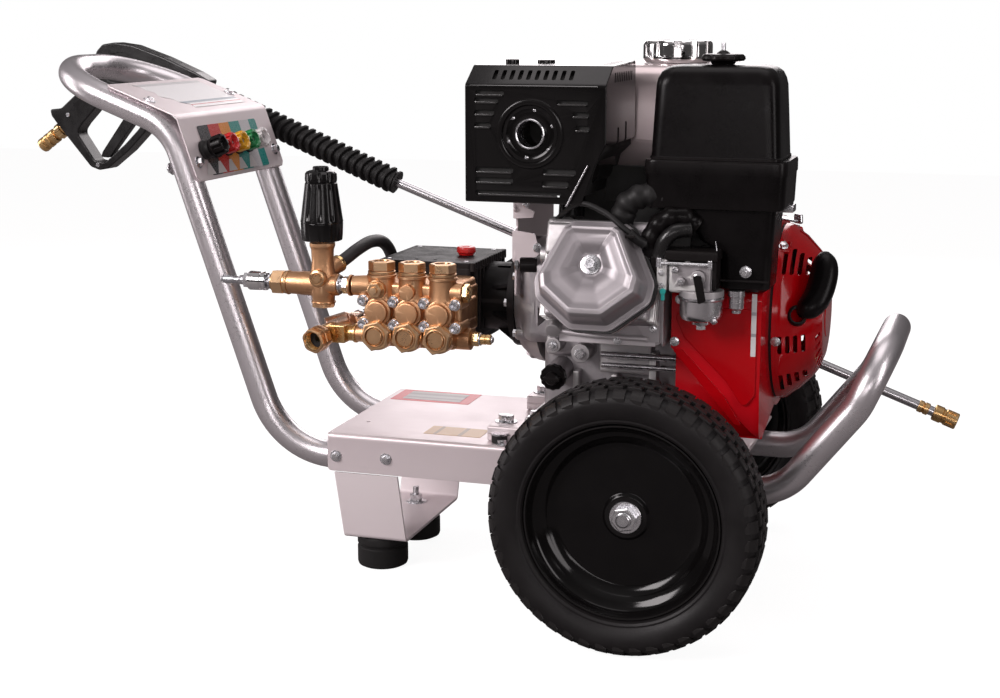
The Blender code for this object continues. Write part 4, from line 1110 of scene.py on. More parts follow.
def make_crankcase():
    """The cast case: foot and lugs, side cover, bosses, ribs, cooling fins and the sheet brackets above."""
    foot_z = PLATE_LIFT + 0.0002
    body = box((-0.19, -0.085, 0.328), (ENGINE_RIGHT, 0.095, 0.44), 0.016, 4)
    foot = plate(
        rounded_rectangle(-0.176, -0.116, 0.026, 0.116, 0.014),
        0.011, (0, 0, foot_z + 0.0055), X, Y, rounding=0.002,
    )
    add = [foot, box((-0.158, -0.085, foot_z + 0.004), (ENGINE_RIGHT, 0.095, 0.4), 0.014, 4)]
    add.append(turned(
        [(0, 0.0), (0.064, 0.0), (0.072, 0.004), (0.078, 0.012), (0.084, 0.022), (0.086, 0.034), (0, 0.034)],
        (ENGINE_LEFT, 0, CRANK.z), X, 72,
    ))
    for i in range(6):
        spot = CRANK + spoke(30 + 60 * i) * 0.076
        add.append(bar_x(spot.y, spot.z, -0.198, -0.18, 0.0085, sides=28, rounding=0.001))
    add.append(moved(bar_z(0, 0, 0.055, CYLINDER_TOP, 0.052, sides=64), bore_frame(0.0)))
    for i in range(8):
        h = 0.093 + i * 0.0096
        wide = 0.06 if i < 7 else 0.062
        add.append(bore_box((-wide, -0.057, h), (wide, 0.057, h + 0.0028), 0.0008, 1))
    # the sump's filler neck and the two bosses beside it
    add += [
        cylinder((-0.131, -0.08, 0.3), (-0.131, -0.121, 0.296), 0.0155, 0.0145, sides=36, rounding=0.001),
        bar_y(-0.133, 0.336, -0.08, -0.124, 0.0115, 0.01, sides=32, rounding=0.001),
        bar_y(-0.098, 0.327, -0.08, -0.12, 0.013, 0.012, sides=32, rounding=0.001),
        box((-0.15, -0.1, 0.318), (-0.085, -0.08, 0.344), 0.006),
        box((-0.078, -0.104, 0.3), (-0.008, -0.08, 0.345), 0.005),
        box((-0.06, -0.11, 0.236), (-0.052, -0.08, 0.3), 0.002, 2),
        box((-0.112, -0.104, 0.236), (-0.104, -0.08, 0.3), 0.002, 2),
        box((-0.012, -0.106, 0.236), (-0.002, -0.08, 0.33), 0.002, 2),
    ]
    cut = [
        box((-0.174, -0.07, 0.344), (0.014, 0.08, 0.43)),
        box((-0.142, -0.07, 0.242), (0.014, 0.08, 0.39)),
        along_crank(ENGINE_LEFT - 0.02, ENGINE_RIGHT + 0.02, 0.0178),
        moved(bar_z(0, 0, 0, CYLINDER_TOP + 0.01, 0.044, sides=48), bore_frame(0.0)),
    ]
    fixed(
        "engine_case", combine(body, add=add, cut=cut, rounding=0.0007, segments=1), "engine_aluminium", CAST,
        "crankcase"
    )
    # sheet brackets that carry the tank: a notched, hooked one at the pump's side, a plain one at the blower's
    outline = [
        (-0.092, 0.392), (-0.04, 0.392), (0.085, 0.4), (0.085, 0.5515), (-0.07, 0.5515), (-0.078, 0.54),
        (-0.087, 0.512), (-0.098, 0.505), (-0.086, 0.498), (-0.083, 0.48), (-0.092, 0.474), (-0.094, 0.44),
        (-0.09, 0.424),
    ]
    left_bracket = plate(rounded_outline(outline, 0.003, 4), 0.0028, (-0.1932, 0, 0), Y, Z, rounding=0.0006)
    flange = plate(
        rounded_outline(
            [(-0.197, 0.478), (-0.166, 0.474), (-0.16, 0.448), (-0.175, 0.436), (-0.197, 0.436)], 0.004, 4
        ),
        0.0026, (0, -0.092, 0), X, Z, rounding=0.0006,
    )
    upper = plate(
        rounded_outline(
            [(-0.197, 0.52), (-0.176, 0.52), (-0.178, 0.507), (-0.168, 0.502), (-0.17, 0.494), (-0.197, 0.492)],
            0.002, 4
        ),
        0.0026, (0, -0.088, 0), X, Z, rounding=0.0006,
    )
    right_bracket = box((0.015, -0.06, 0.425), (0.019, 0.085, 0.5515), 0.001, 1)
    shelf = box((-0.193, -0.052, 0.5465), (0.018, 0.085, 0.5512), 0.0012, 1)
    brackets = join(left_bracket, flange, upper, right_bracket, shelf)
    fixed("tank_brackets", brackets, "engine_aluminium", SHEET_ALUMINIUM)
    oil = [
        (0, 0.018), (0.007, 0.018), (0.0085, 0.0165), (0.009, 0.013), (0.015, 0.012), (0.0165, 0.01),
        (0.0165, 0.002),
        (0.015, 0.0), (0, 0.0),
    ]
    dipstick = turned(oil, (-0.131, -0.1212, 0.296), Vector((0, -1, -0.05)), 60,
                      wobble=lambda a, r, h: 1 + 0.035 * math.cos(a * 12) if r > 0.012 else 1)
    wing = box((-0.142, -0.1395, 0.2925), (-0.12, -0.125, 0.2975), 0.001, 2)
    fixed("engine_oil_cap", join(dipstick, wing), "black_plastic", MATTE_BLACK)
    fasteners = []
    for i in range(6):
        spot = CRANK + spoke(30 + 60 * i) * 0.076
        fasteners.append(bolt((-0.1982, spot.y, spot.z), -X, 0.0095, 0.0045, 0.0072))
    for x, y, z, n in ((-0.133, -0.1242, 0.336, 0.007), (-0.098, -0.1202, 0.327, 0.012)):
        fasteners.append(bolt((x, y, z), -Y, n, 0.004, 0.0065))
    fasteners.append(bolt((-0.118, -0.1, 0.252), -Y, 0.011, 0.006, 0.009))
    for x in (-0.163, 0.012):
        for y in (-0.1, 0.1):
            fasteners.append(bolt((x, y, 0.2337), Z, 0.0125, 0.0075, 0.0105))
    fasteners += [
        bolt((-0.163, -0.0935, 0.456), -Y, 0.009, 0.004, 0.006),
        bolt((-0.179, -0.0894, 0.512), -Y, 0.008, 0.004),
    ]
    rods = [tube([(-0.072, -0.112, 0.326), (0.04, -0.112, 0.326)], 0.0042, 20)]
    rods.append(tube([(-0.072, -0.11, 0.312), (0.04, -0.11, 0.312)], 0.0036, 20))
    zinc("engine_case_bolts", *fasteners)
    fixed("engine_lower_rods", join(*rods), "zinc_steel", STEEL)
    plug = [(0, 0.0), (0.0085, 0.0), (0.0095, 0.001), (0.0095, 0.02), (0.0085, 0.0215), (0, 0.0215)]
    sender = turned(plug, (-0.1525, -0.131, 0.44), Vector((-1, -0.25, 0)), 40)
    fixed("level_switch", sender, "black_plastic", MATTE_BLACK)
    nut = hexagon((-0.1745, -0.1368, 0.44), (-0.18, -0.1382, 0.44), 0.012, 0.0012)
    fixed("level_switch_nut", nut, "zinc_steel", ZINC)


def cover_outline(grow=0.0):
    """The valve cover seen along the cylinder: a pentagon with a narrow crown, its corners well rounded."""
    half = [(0.024, -0.075), (0.068, -0.04), (0.0715, -0.018), (0.041, 0.046), (0.03, 0.053)]
    corners = half + [(-x, y) for x, y in reversed(half)]
    corners = [Vector(c) for c in corners]
    bends = [0.018, 0.014, 0.018, 0.012, 0.008]
    ring = rounded_outline([tuple(c) for c in corners], bends + bends[::-1], 5)
    if not grow:
        return ring
    made = []
    count = len(ring)
    for i in range(count):
        a, b = Vector(ring[i - 1]), Vector(ring[(i + 1) % count])
        along = (b - a).normalized()
        out = Vector((along.y, -along.x))
        made.append(tuple(Vector(ring[i]) + out * grow))
    return made


def layered(rings, matrix):
    """Rings of equal length, each a list of (x, y) with a height, skinned into one closed shape."""
    bm = bmesh.new()
    made = []
    for ring, height in rings:
        heights = height if isinstance(height, (list, tuple)) else [height] * len(ring)
        made.append([bm.verts.new(matrix @ Vector((p[0], p[1], h))) for p, h in zip(ring, heights)])
    count = len(made[0])
    for a, b in zip(made, made[1:]):
        for i in range(count):
            j = (i + 1) % count
            bm.faces.new((a[i], a[j], b[j], b[i]))
    bm.faces.new(made[0])
    bm.faces.new(made[-1])
    return solid(bm)


def blend_ring(ring, other, share):
    return [tuple(Vector(a) * (1 - share) + Vector(b) * share) for a, b in zip(ring, other)]


def circle_like(ring, centre, radius):
    """A circle with one point for each of a ring's points, at the same bearing."""
    centre = Vector(centre)
    made = []
    for p in ring:
        d = (Vector(p) - centre).normalized()
        made.append(tuple(centre + d * radius))
    return made


def make_cylinder_head():
    block = bore_box((-0.064, -0.06, CYLINDER_TOP + 0.0003), (0.064, 0.06, HEAD_TOP - 0.004), 0.005)
    add = []
    for i in range(5):
        h = CYLINDER_TOP + 0.004 + i * 0.01
        add.append(bore_box((-0.0705, -0.06, h), (0.0705, 0.056, h + 0.0026), 0.0008, 1))
    deck = plate(cover_outline(0.004), 0.007, (0, 0, HEAD_TOP - 0.0036), X, Y, rounding=0.001)
    deck = moved(deck, bore_frame(0.0))
    add += [
        deck,
        moved(bar_x(0.02, 0.196, -0.08, -0.058, 0.011, sides=32, rounding=0.001), bore_frame(0.0)),
        moved(box((-0.074, 0.03, 0.185), (-0.04, 0.066, 0.214), 0.008), bore_frame(0.0)),
        bore_box((-0.068, 0.014, 0.19), (-0.034, 0.054, 0.231), 0.005),
    ]
    fixed(
        "cylinder_head_finned", combine(block, add=add, rounding=0.0006, segments=1), "engine_aluminium", CAST,
        "cylinder_head"
    )
    ring = cover_outline()
    gasket = layered(
        [(cover_outline(0.0042), HEAD_TOP + 0.0002), (cover_outline(0.0042), HEAD_TOP + 0.0042)], bore_frame(0.0)
    )
    fixed("valve_cover_gasket", gasket, "rubber", RUBBER)
    # a flat lip, a rolled wall, a crown with a raised rim and a dished middle round the bolt
    bolt_at = (0.0, -0.002)
    flat = HEAD_TOP + 0.0042
    inner = circle_like(ring, bolt_at, 0.02)
    rings = [
        (cover_outline(0.0022), flat), (cover_outline(0.0026), flat + 0.0016),
        (cover_outline(0.0018), flat + 0.003), (ring, flat + 0.0036)
    ]
    wall = [(0.004, 0.005), (0.0065, 0.0095), (0.008, 0.02), (0.01, 0.029), (0.0135, 0.0335), (0.018, 0.035)]
    for inset, height in wall:
        rings.append(
            (
                cover_outline(-inset) if inset < 0.009 else blend_ring(
                    cover_outline(-0.0085), inner, (inset - 0.0085) / 0.05
                ),
                flat + height
            )
        )
    edge = cover_outline(-0.0085)
    for share, height in (
        (0.24, 0.0346), (0.32, 0.033), (0.42, 0.0322), (0.6, 0.0322), (0.76, 0.0316), (0.88, 0.03), (1.0, 0.0275)
    ):
        rings.append((blend_ring(edge, inner, share), flat + height))
    for radius, height in ((0.0165, 0.025), (0.014, 0.024), (0.006, 0.024), (0.001, 0.024)):
        rings.append((circle_like(ring, bolt_at, radius), flat + height))
    cover = layered(rings, bore_frame(0.0, -0.002))
    fixed("valve_cover_pressed", cover, "engine_aluminium", ENGINE_SILVER, "valve_cover")
    spot = CRANK + X * (CYLINDER_X - 0.002) + BORE_UP * -0.002 + BORE_AXIS * (flat + 0.024)
    washer = turned(
        [(0, 0), (0.0118, 0), (0.0122, 0.0006), (0.0118, 0.0018), (0.01, 0.0022), (0, 0.0022)], spot, BORE_AXIS, 48
    )
    head = hexagon(spot + BORE_AXIS * 0.002, spot + BORE_AXIS * 0.0075, 0.012, 0.001, 0.3)
    dimple = cylinder(spot + BORE_AXIS * 0.006, spot + BORE_AXIS * 0.02, 0.0036, sides=24)
    zinc("valve_cover_bolt", washer, combine(head, cut=[dimple]))


def make_crankshaft():
    shapes = [
        turned(
            [
                (0, -0.262), (0.0115, -0.262), (0.0127, -0.2608), (0.0127, -0.2032), (0.0175, -0.2032),
                (0.0175, -0.098), (0, -0.098)
            ],
            CRANK, X, 48
        ),
        turned(
            [
                (0, -0.012), (0.0175, -0.012), (0.0175, 0.036), (0.0127, 0.04), (0.0127, 0.0988), (0.0115, 0.1),
                (0, 0.1)
            ],
            CRANK, X, 48
        ),
    ]
    webs = []
    throw = 0.032
    for x in (-0.098, -0.03):
        outline = rounded_outline(
            [(-0.046, -0.044), (0.046, -0.044), (0.03, 0.01), (0.022, 0.05), (-0.022, 0.05), (-0.03, 0.01)], 0.012
        )
        webs.append(plate(outline, 0.02, (x + 0.01, 0, CRANK.z), Y, Z, rounding=0.002))
    pin = bar_x(0, CRANK.z + throw, -0.085, -0.025, 0.018, sides=48)
    piece(
        "crankshaft_forged", combine(shapes[0], add=[shapes[1], *webs, pin]), "crank", "zinc_steel", STEEL,
        "crankshaft"
    )
    bore = 0.013
    wheel = [(bore, 0.082), (0.028, 0.082), (0.03, 0.08), (0.034, 0.064), (0.098, 0.07), (0.1, 0.068), (0.1, 0.042),
             (0.085, 0.042), (0.08, 0.054), (0.03, 0.054), (0.026, 0.04), (bore, 0.04)]
    blade = plate(
        rounded_outline([(0.045, 0.0), (0.095, 0.0), (0.095, 0.01), (0.05, 0.01)], 0.003), 0.0022, (0, 0, 0), X, Y,
        rounding=0.0005
    )
    matrices = []
    for i in range(16):
        a = 2 * math.pi * i / 16
        out = Vector((0, math.cos(a), math.sin(a)))
        turn = Matrix((out, X, out.cross(X))).transposed().to_4x4()
        matrices.append(at(CRANK + X * 0.0655) @ turn)
    blades = copies(blade, matrices)
    piece(
        "flywheel_with_blades", join(turned(wheel, CRANK, X, 96), blades), "crank", "engine_aluminium", CAST,
        "flywheel"
    )


def slot_prisms(origin, right, up, slots, depth=0.02, radius=None):
    """Cutters for rounded slots in a face: (centre right, centre up, half width, half height[, slant])."""
    shapes = []
    for slot in slots:
        cx, cy, w, h = slot[:4]
        slant = slot[4] if len(slot) > 4 else 0.0
        r = radius if radius is not None else min(w, h) * 0.98
        corners = [
            (cx - w - slant * h, cy - h), (cx + w - slant * h, cy - h), (cx + w + slant * h, cy + h),
            (cx - w + slant * h, cy + h)
        ]
        shapes.append(plate(rounded_outline(corners, r, 4), depth, origin, right, up))
    return shapes


def make_blower():
    """The red housing with its creased duct, and the ribbed dome whose slots let the air in."""
    wall = 0.003
    left, right = ENGINE_RIGHT + 0.0003, SHROUD_RIGHT
    slope = math.radians(45.5)

    def duct(inset, x0, x1):
        outline = [
            (-0.172 + inset, 0.424 - inset), (-0.172 + inset, 0.3), (-0.166 + inset, 0.25 + inset),
            (-0.15 + inset * 0.5, 0.236 + inset),
            (-0.03, 0.262 + inset), (-0.03, 0.424 - inset),
        ]
        block = plate(
            rounded_outline(outline, [0.012, 0.03, 0.016, 0.016, 0, 0], 7), x1 - x0, ((x0 + x1) / 2, 0, 0), Y, Z
        )
        away = box((-0.3, -0.3, -0.2), (0.3, 0.0, 0.0))
        place = Vector((0.08, -0.14, 0.302)) + Vector((math.sin(slope), 0, math.cos(slope))) * inset
        away = moved(away, at(place) @ Matrix.Rotation(slope, 4, "Y"))
        return combine(block, cut=[away])

    outer = combine(
        along_crank(left, right, 0.1215, 96), add=[duct(0, left, right)], rounding=0.004, segments=3, angle=50
    )
    inner = combine(along_crank(left - 0.02, right - wall, 0.1185, 96), add=[duct(wall, left - 0.02, right - wall)])
    mouth = along_crank(0.1, 0.2, 0.1, 72)
    shroud = combine(outer, cut=[inner, mouth])
    fixed("blower_housing", shroud, "red_paint", RED_PAINT, "fan_shroud")
    # pressed creases: a raised panel on the duct's face and a rib round the drum
    crease = [
        (0.034, 0.392), (0.045, 0.405), (0.134, 0.405), (0.134, 0.3), (0.12, 0.282), (0.098, 0.315), (0.046, 0.366)
    ]
    panel = plate(rounded_outline(crease, 0.01, 6), 0.0036, (0, -0.1722, 0), X, Z, rounding=0.0016, segments=3)
    flank = plate(
        rounded_outline([(0.0305, 0.352), (0.044, 0.352), (0.096, 0.297), (0.118, 0.262), (0.11, 0.262)], 0.006, 5),
        0.003, (0, -0.1715, 0), X, Z, rounding=0.0014, segments=3
    )
    rib = turned(
        [(0.1195, 0.128), (0.1222, 0.13), (0.123, 0.134), (0.1222, 0.1385), (0.1195, 0.1385)], CRANK, X, 96
    )
    fixed("blower_housing_creases", join(panel, flank, rib), "red_paint", RED_PAINT)
    strip = sheet_on((0.13, -0.174, 0.386), X, Z, rounded_rectangle(-0.003, -0.038, 0.003, 0.038, 0.001))
    paper = striped(
        "strip_print", 2,
        [
            (0.352, (0.7, 0.68, 0.68)), (0.372, (0.35, 0.34, 0.36)), (0.376, (0.7, 0.68, 0.68)),
            (0.398, (0.4, 0.38, 0.4)), (0.402, (0.7, 0.68, 0.68))
        ],
        (0.66, 0.64, 0.64)
    )
    fixed("blower_strip_label", strip, "white_plastic", paper)
    # a near-black ring in the gap between housing and dome: painted shade in that gap
    gap_shade_ring = turned([(0.112, 0.1386), (0.112, 0.1445), (0.106, 0.1445), (0.106, 0.1386)], CRANK, X, 96)
    fixed("recoil_gap_shade_ring", gap_shade_ring, "black_plastic", DARK_AND_SHADE)

    # the dome
    back = SHROUD_RIGHT + 0.0035
    dome = [
        (0, 0.1975), (0.05, 0.1975), (0.056, 0.1965), (0.074, 0.1895), (0.08, 0.1855), (0.099, 0.1675),
        (0.103, 0.1615), (0.1105, 0.153), (0.1125, 0.148), (0.1132, back)
    ]
    inside = [
        (0.11, back), (0.1095, 0.148), (0.1075, 0.1515), (0.098, 0.164), (0.078, 0.183), (0.0725, 0.1865),
        (0.054, 0.1935), (0, 0.1945)
    ]
    shell = turned(dome + inside, CRANK, X, 128)

    def on_cone(out, r0, x0, r1, x1):
        """Axes on the dome's flank in a direction from the crankshaft: (origin, round, down)."""
        high, low = CRANK + X * x0 + out * r0, CRANK + X * x1 + out * r1
        return (high + low) / 2, X.cross(out).normalized(), (low - high).normalized()

    cuts = []
    bearings = 30
    for i in range(bearings):
        degrees = (6 + 360 * i / bearings) % 360
        out = spoke(degrees)
        if degrees < 98:
            origin, along, down = on_cone(out, 0.074, 0.1895, 0.106, 0.159)
            cuts += slot_prisms(origin, along, down, [(0, 0, 0.0048, 0.0215, 0.12)], 0.026, 0.003)
            continue
        if degrees < 272:
            if degrees > 196:
                origin, along, down = on_cone(out, 0.056, 0.1965, 0.0735, 0.1897)
                cuts += slot_prisms(origin, along, down, [(0, 0, 0.003, 0.0068, 0.2)], 0.014, 0.0018)
            continue
        origin, along, down = on_cone(out, 0.08, 0.1855, 0.099, 0.1675)
        cuts += slot_prisms(origin, along, down, [(0, 0, 0.0046, 0.011, 0.1)], 0.02, 0.0024)
        origin, along, down = on_cone(out, 0.104, 0.1605, 0.112, 0.1515)
        cuts += slot_prisms(origin, along, down, [(0, 0, 0.0044, 0.0042)], 0.016, 0.0018)
        origin, along, down = on_cone(out, 0.056, 0.1965, 0.0735, 0.1897)
        cuts += slot_prisms(origin, along, down, [(0, 0, 0.003, 0.0068, 0.2)], 0.014, 0.0018)
    for centre_z, half_height in ((0.35, 0.0115), (0.2965, 0.012), (0.4525, 0.0165)):
        for row, x in enumerate((0.152, 0.1607, 0.1694, 0.1781)):
            lift = 0.0
            if centre_z > CRANK.z + 0.05:
                lift = -0.0033 * row
            elif centre_z < CRANK.z - 0.05:
                lift = 0.003 * row
            tall = half_height - abs(lift) * 0.7
            shape = rounded_rectangle(-0.0025, -tall, 0.0025, tall, 0.0022, 4)
            cuts.append(plate(shape, 0.12, (x, -0.066, centre_z + lift), X, Z))
    shell = combine(shell, cut=[join(*cuts)])
    fixed("recoil_dome", shell, "red_paint", RED_PAINT, "recoil_cover")
    ribs = []
    for degrees in (62, 125, 304):
        out = spoke(degrees)
        pad = plate(
            rounded_outline([(-0.011, -0.009), (0.011, -0.009), (0.009, 0.01), (-0.009, 0.01)], 0.004), 0.004,
            CRANK + X * 0.1475 + out * 0.111, X.cross(out), -X, rounding=0.001
        )
        ribs.append(pad)
    hub = turned(
        [(0, 0.0), (0.03, 0.0), (0.0315, -0.0012), (0.04, -0.0012), (0.04, -0.003), (0, -0.003)],
        (0.1985, 0, CRANK.z), X, 72
    )
    eye_place = Vector((0.168, -0.088, 0.385))
    eye = turned(
        [(0.0085, 0.0), (0.0145, 0.0), (0.0125, 0.012), (0.01, 0.015), (0.0085, 0.015)], eye_place,
        Vector((0.3, -0.93, 0.2)), 40
    )
    fixed("recoil_dome_ribs", join(*ribs, hub), "red_paint", RED_PAINT)
    fixed("recoil_eye", eye, "black_plastic", MATTE_BLACK)
    screws = []
    for degrees in (62, 125, 190, 304):
        out = spoke(degrees)
        screws.append(bolt(CRANK + X * 0.1475 + out * 0.1128, out, 0.008, 0.004, 0.0062))
    screws += [
        bolt((0.0345, -0.1735, 0.361), -Y, 0.008, 0.004, 0.0058),
        bolt((0.04, -0.1735, 0.413), -Y, 0.008, 0.004, 0.0058),
    ]
    zinc("blower_screws", *screws)
    grip_path = smooth_path(
        [(0.177, -0.11, 0.389), (0.193, -0.094, 0.408), (0.1995, -0.079, 0.434), (0.1985, -0.066, 0.462)], 8
    )
    count = len(grip_path) - 1
    radii = []
    for i in range(count + 1):
        t = i / count
        radii.append(0.019 * max(0.3, math.sqrt(max(0.0, 1 - abs(2 * t - 1) ** 4))))
    grip = tube(grip_path, radii, 32, flat=0.84)
    piece("recoil_grip_moulded", grip, "recoil_grip", "black_plastic", MATTE_BLACK, "recoil_grip")


def make_exhaust():
    """The guard: a pressed box with a chamfered top edge, louvres, a pressed ring and the pipe's mouth."""
    left, right = -0.22, -0.045
    outlet = Vector((-0.138, 0, 0.61))
    front, back, low, high = -0.212, -0.06, 0.527, 0.69
    wall = 0.0016
    outline = [(front, low), (front, 0.668), (front + 0.034, high), (back, high + 0.004), (back, low)]
    body = plate(
        rounded_outline(outline, [0.002, 0.007, 0.007, 0.006, 0.0], 5), right - left, ((left + right) / 2, 0, 0), Y,
        Z
    )
    keep = plate(
        [
            (left - 0.1, low - 0.01), (-0.078, low - 0.01), (-0.058, 0.575), (right, 0.6), (right, 0.8),
            (left - 0.1, 0.8)
        ],
        1.0, (0, 0, 0), X, Z
    )
    body = softened(body, 0.008, 4, 50)
    trim = body.modifiers.new("trim", "BOOLEAN")
    trim.operation = "INTERSECT"
    trim.object = keep
    body = evaluated(body)
    discard(keep)
    inner_outline = [
        (front + wall, low - 0.02), (front + wall, 0.667), (front + 0.035, high - wall),
        (back + 0.02, high + 0.004 - wall), (back + 0.02, low - 0.02)
    ]
    inner = plate(inner_outline, right - left - 2 * wall, ((left + right) / 2, 0, 0), Y, Z)
    inner = softened(inner, 0.006, 3, 50)
    chamfer_up = Vector((0, 0.034, 0.022)).normalized()
    chamfer_at = Vector((-0.139, front + 0.017, 0.679))
    cuts = slot_prisms(
        chamfer_at, X, chamfer_up, [(-0.0475 + 0.0106 * i, 0.0, 0.0026, 0.01, -0.05) for i in range(10)], 0.012
    )
    face = Vector((0, front, 0))
    louvres = [
        (-0.1885, 0.658, 0.018, 0.0034), (-0.193, 0.649, 0.015, 0.0032), (-0.1955, 0.6345, 0.0125, 0.0034),
        (-0.1975, 0.6195, 0.0105, 0.0034),
        (-0.086, 0.6475, 0.019, 0.003), (-0.0755, 0.6336, 0.01, 0.0034), (-0.0735, 0.6176, 0.0085, 0.0036),
        (-0.183, 0.566, 0.024, 0.0036), (-0.183, 0.5535, 0.024, 0.0036), (-0.153, 0.5385, 0.054, 0.003),
        (-0.1015, 0.5655, 0.0205, 0.004), (-0.1065, 0.551, 0.0165, 0.0042),
    ]
    cuts += slot_prisms(face, X, Z, louvres, 0.012)
    top_grid = slot_prisms(
        Vector((right - 0.014, 0, high + 0.002)), Y, X,
        [(-0.165 + 0.0095 * i, 0.0, 0.0026, 0.0085, 0.3) for i in range(10)], 0.02
    )
    side_grid = slot_prisms(
        Vector((right, 0, 0)), Y, Z, [(-0.168 + 0.0095 * i, 0.676, 0.0024, 0.006, 0.2) for i in range(10)], 0.012
    )
    side_holes = slot_prisms(
        Vector((right, 0, 0)), Y, Z, [(-0.15, 0.6, 0.0045, 0.016), (-0.11, 0.605, 0.0045, 0.016)], 0.012, 0.004
    )
    cuts += top_grid + side_grid + side_holes
    cuts.append(bar_y(outlet.x, outlet.z, -0.23, -0.19, 0.03, sides=64))
    shell = combine(body, cut=[inner, join(*cuts)])
    fixed("muffler_guard_pressed", shell, "black_paint", GLOSS_BLACK, "muffler_guard")
    # the pressed ring round the outlet and the lips over the louvres
    ring = [
        (0.0186, -0.2075), (0.0186, -0.2092), (0.026, -0.2092), (0.029, -0.21), (0.0335, -0.2118), (0.035, -0.2143),
        (0.038, -0.215),
        (0.0405, -0.2143), (0.042, -0.2122), (0.042, -0.21), (0.033, -0.2085), (0.028, -0.2075),
    ]
    profile = [(r, -y) for r, y in ring]
    pressed = turned(profile, (outlet.x, 0, outlet.z), -Y, 96)
    # a near-black sheet inside the guard, so that the slots and louvres look dark through: painted shade
    shade_sheet_outline = [
        (front + 0.005, low + 0.01), (front + 0.005, 0.664), (front + 0.0365, high - 0.005),
        (back - 0.004, high - 0.002), (back - 0.004, low + 0.01)
    ]
    shade_sheet = plate(shade_sheet_outline, right - left - 0.008, ((left + right) / 2, 0, 0), Y, Z)
    lower_right = plate(
        [(-0.082, 0.5), (-0.062, 0.577), (right + 0.01, 0.604), (right + 0.01, 0.5)], 0.5, (0, -0.1, 0), X, Z
    )
    hole = bar_y(outlet.x, outlet.z, -0.23, -0.15, 0.019, sides=48)
    fixed("muffler_guard_shade_sheet", combine(shade_sheet, cut=[hole, lower_right]), "black_paint", DARK_AND_SHADE)
    lips = []
    for cx, cz, w, h in louvres:
        lip = box(
            (cx - w * 0.92, front - 0.0022, cz - h - 0.0006), (cx + w * 0.92, front + 0.0006, cz - h + 0.0022),
            0.001, 2
        )
        lips.append(lip)
    frame_rib = box((left + 0.006, front - 0.0014, 0.6655), (right - 0.01, front + 0.001, 0.6675), 0.0008, 1)
    fixed("muffler_guard_ring", pressed, "black_paint", GLOSS_BLACK)
    # the lips and the rib in a lighter copy of the guard's black: painted highlight
    fixed("muffler_guard_lips", join(*lips, frame_rib), "black_paint", HIGHLIGHT_LIP_BLACK)
    box_shape = box((-0.205, -0.196, 0.545), (-0.062, -0.075, 0.655), 0.02, 5)
    add = [cylinder((-0.1, -0.16, 0.507), (-0.1, -0.15, 0.56), 0.016, sides=40)]
    hollow = box((-0.202, -0.193, 0.548), (-0.065, -0.078, 0.652), 0.018, 4)
    bore = bar_y(outlet.x, outlet.z, -0.23, -0.185, 0.0155, sides=48)
    fixed("muffler_box", combine(box_shape, add=add, cut=[hollow, bore]), "black_paint", GLOSS_BLACK, "muffler")
    mouth = pipe((outlet.x, -0.215, outlet.z), (outlet.x, -0.188, outlet.z), 0.0183, 0.0158, 64, 0.0008)
    fixed("exhaust_mouth", mouth, "zinc_steel", ZINC)
    screws = []
    for i in range(6):
        a = math.radians(20 + 60 * i)
        spot = (outlet.x + 0.0288 * math.cos(a), -0.2096, outlet.z + 0.0288 * math.sin(a))
        screws.append(pan_screw(spot, -Y, 0.0024, 0.0014))
    knobs = [bar_z(-0.182, -0.14, 0.688, 0.6962, 0.0085, sides=32, rounding=0.001)]
    knobs.append(bar_z(-0.145, -0.118, 0.688, 0.6952, 0.011, sides=32, rounding=0.001))
    zinc("guard_screws", *screws)
    fixed("guard_top_plugs", join(*knobs), "black_paint", GLOSS_BLACK)
    stay = tube([(-0.066, -0.214, 0.5745), (-0.092, -0.214, 0.525)], 0.0013, 16)
    fixed("guard_stay", stay, "zinc_steel", STEEL)


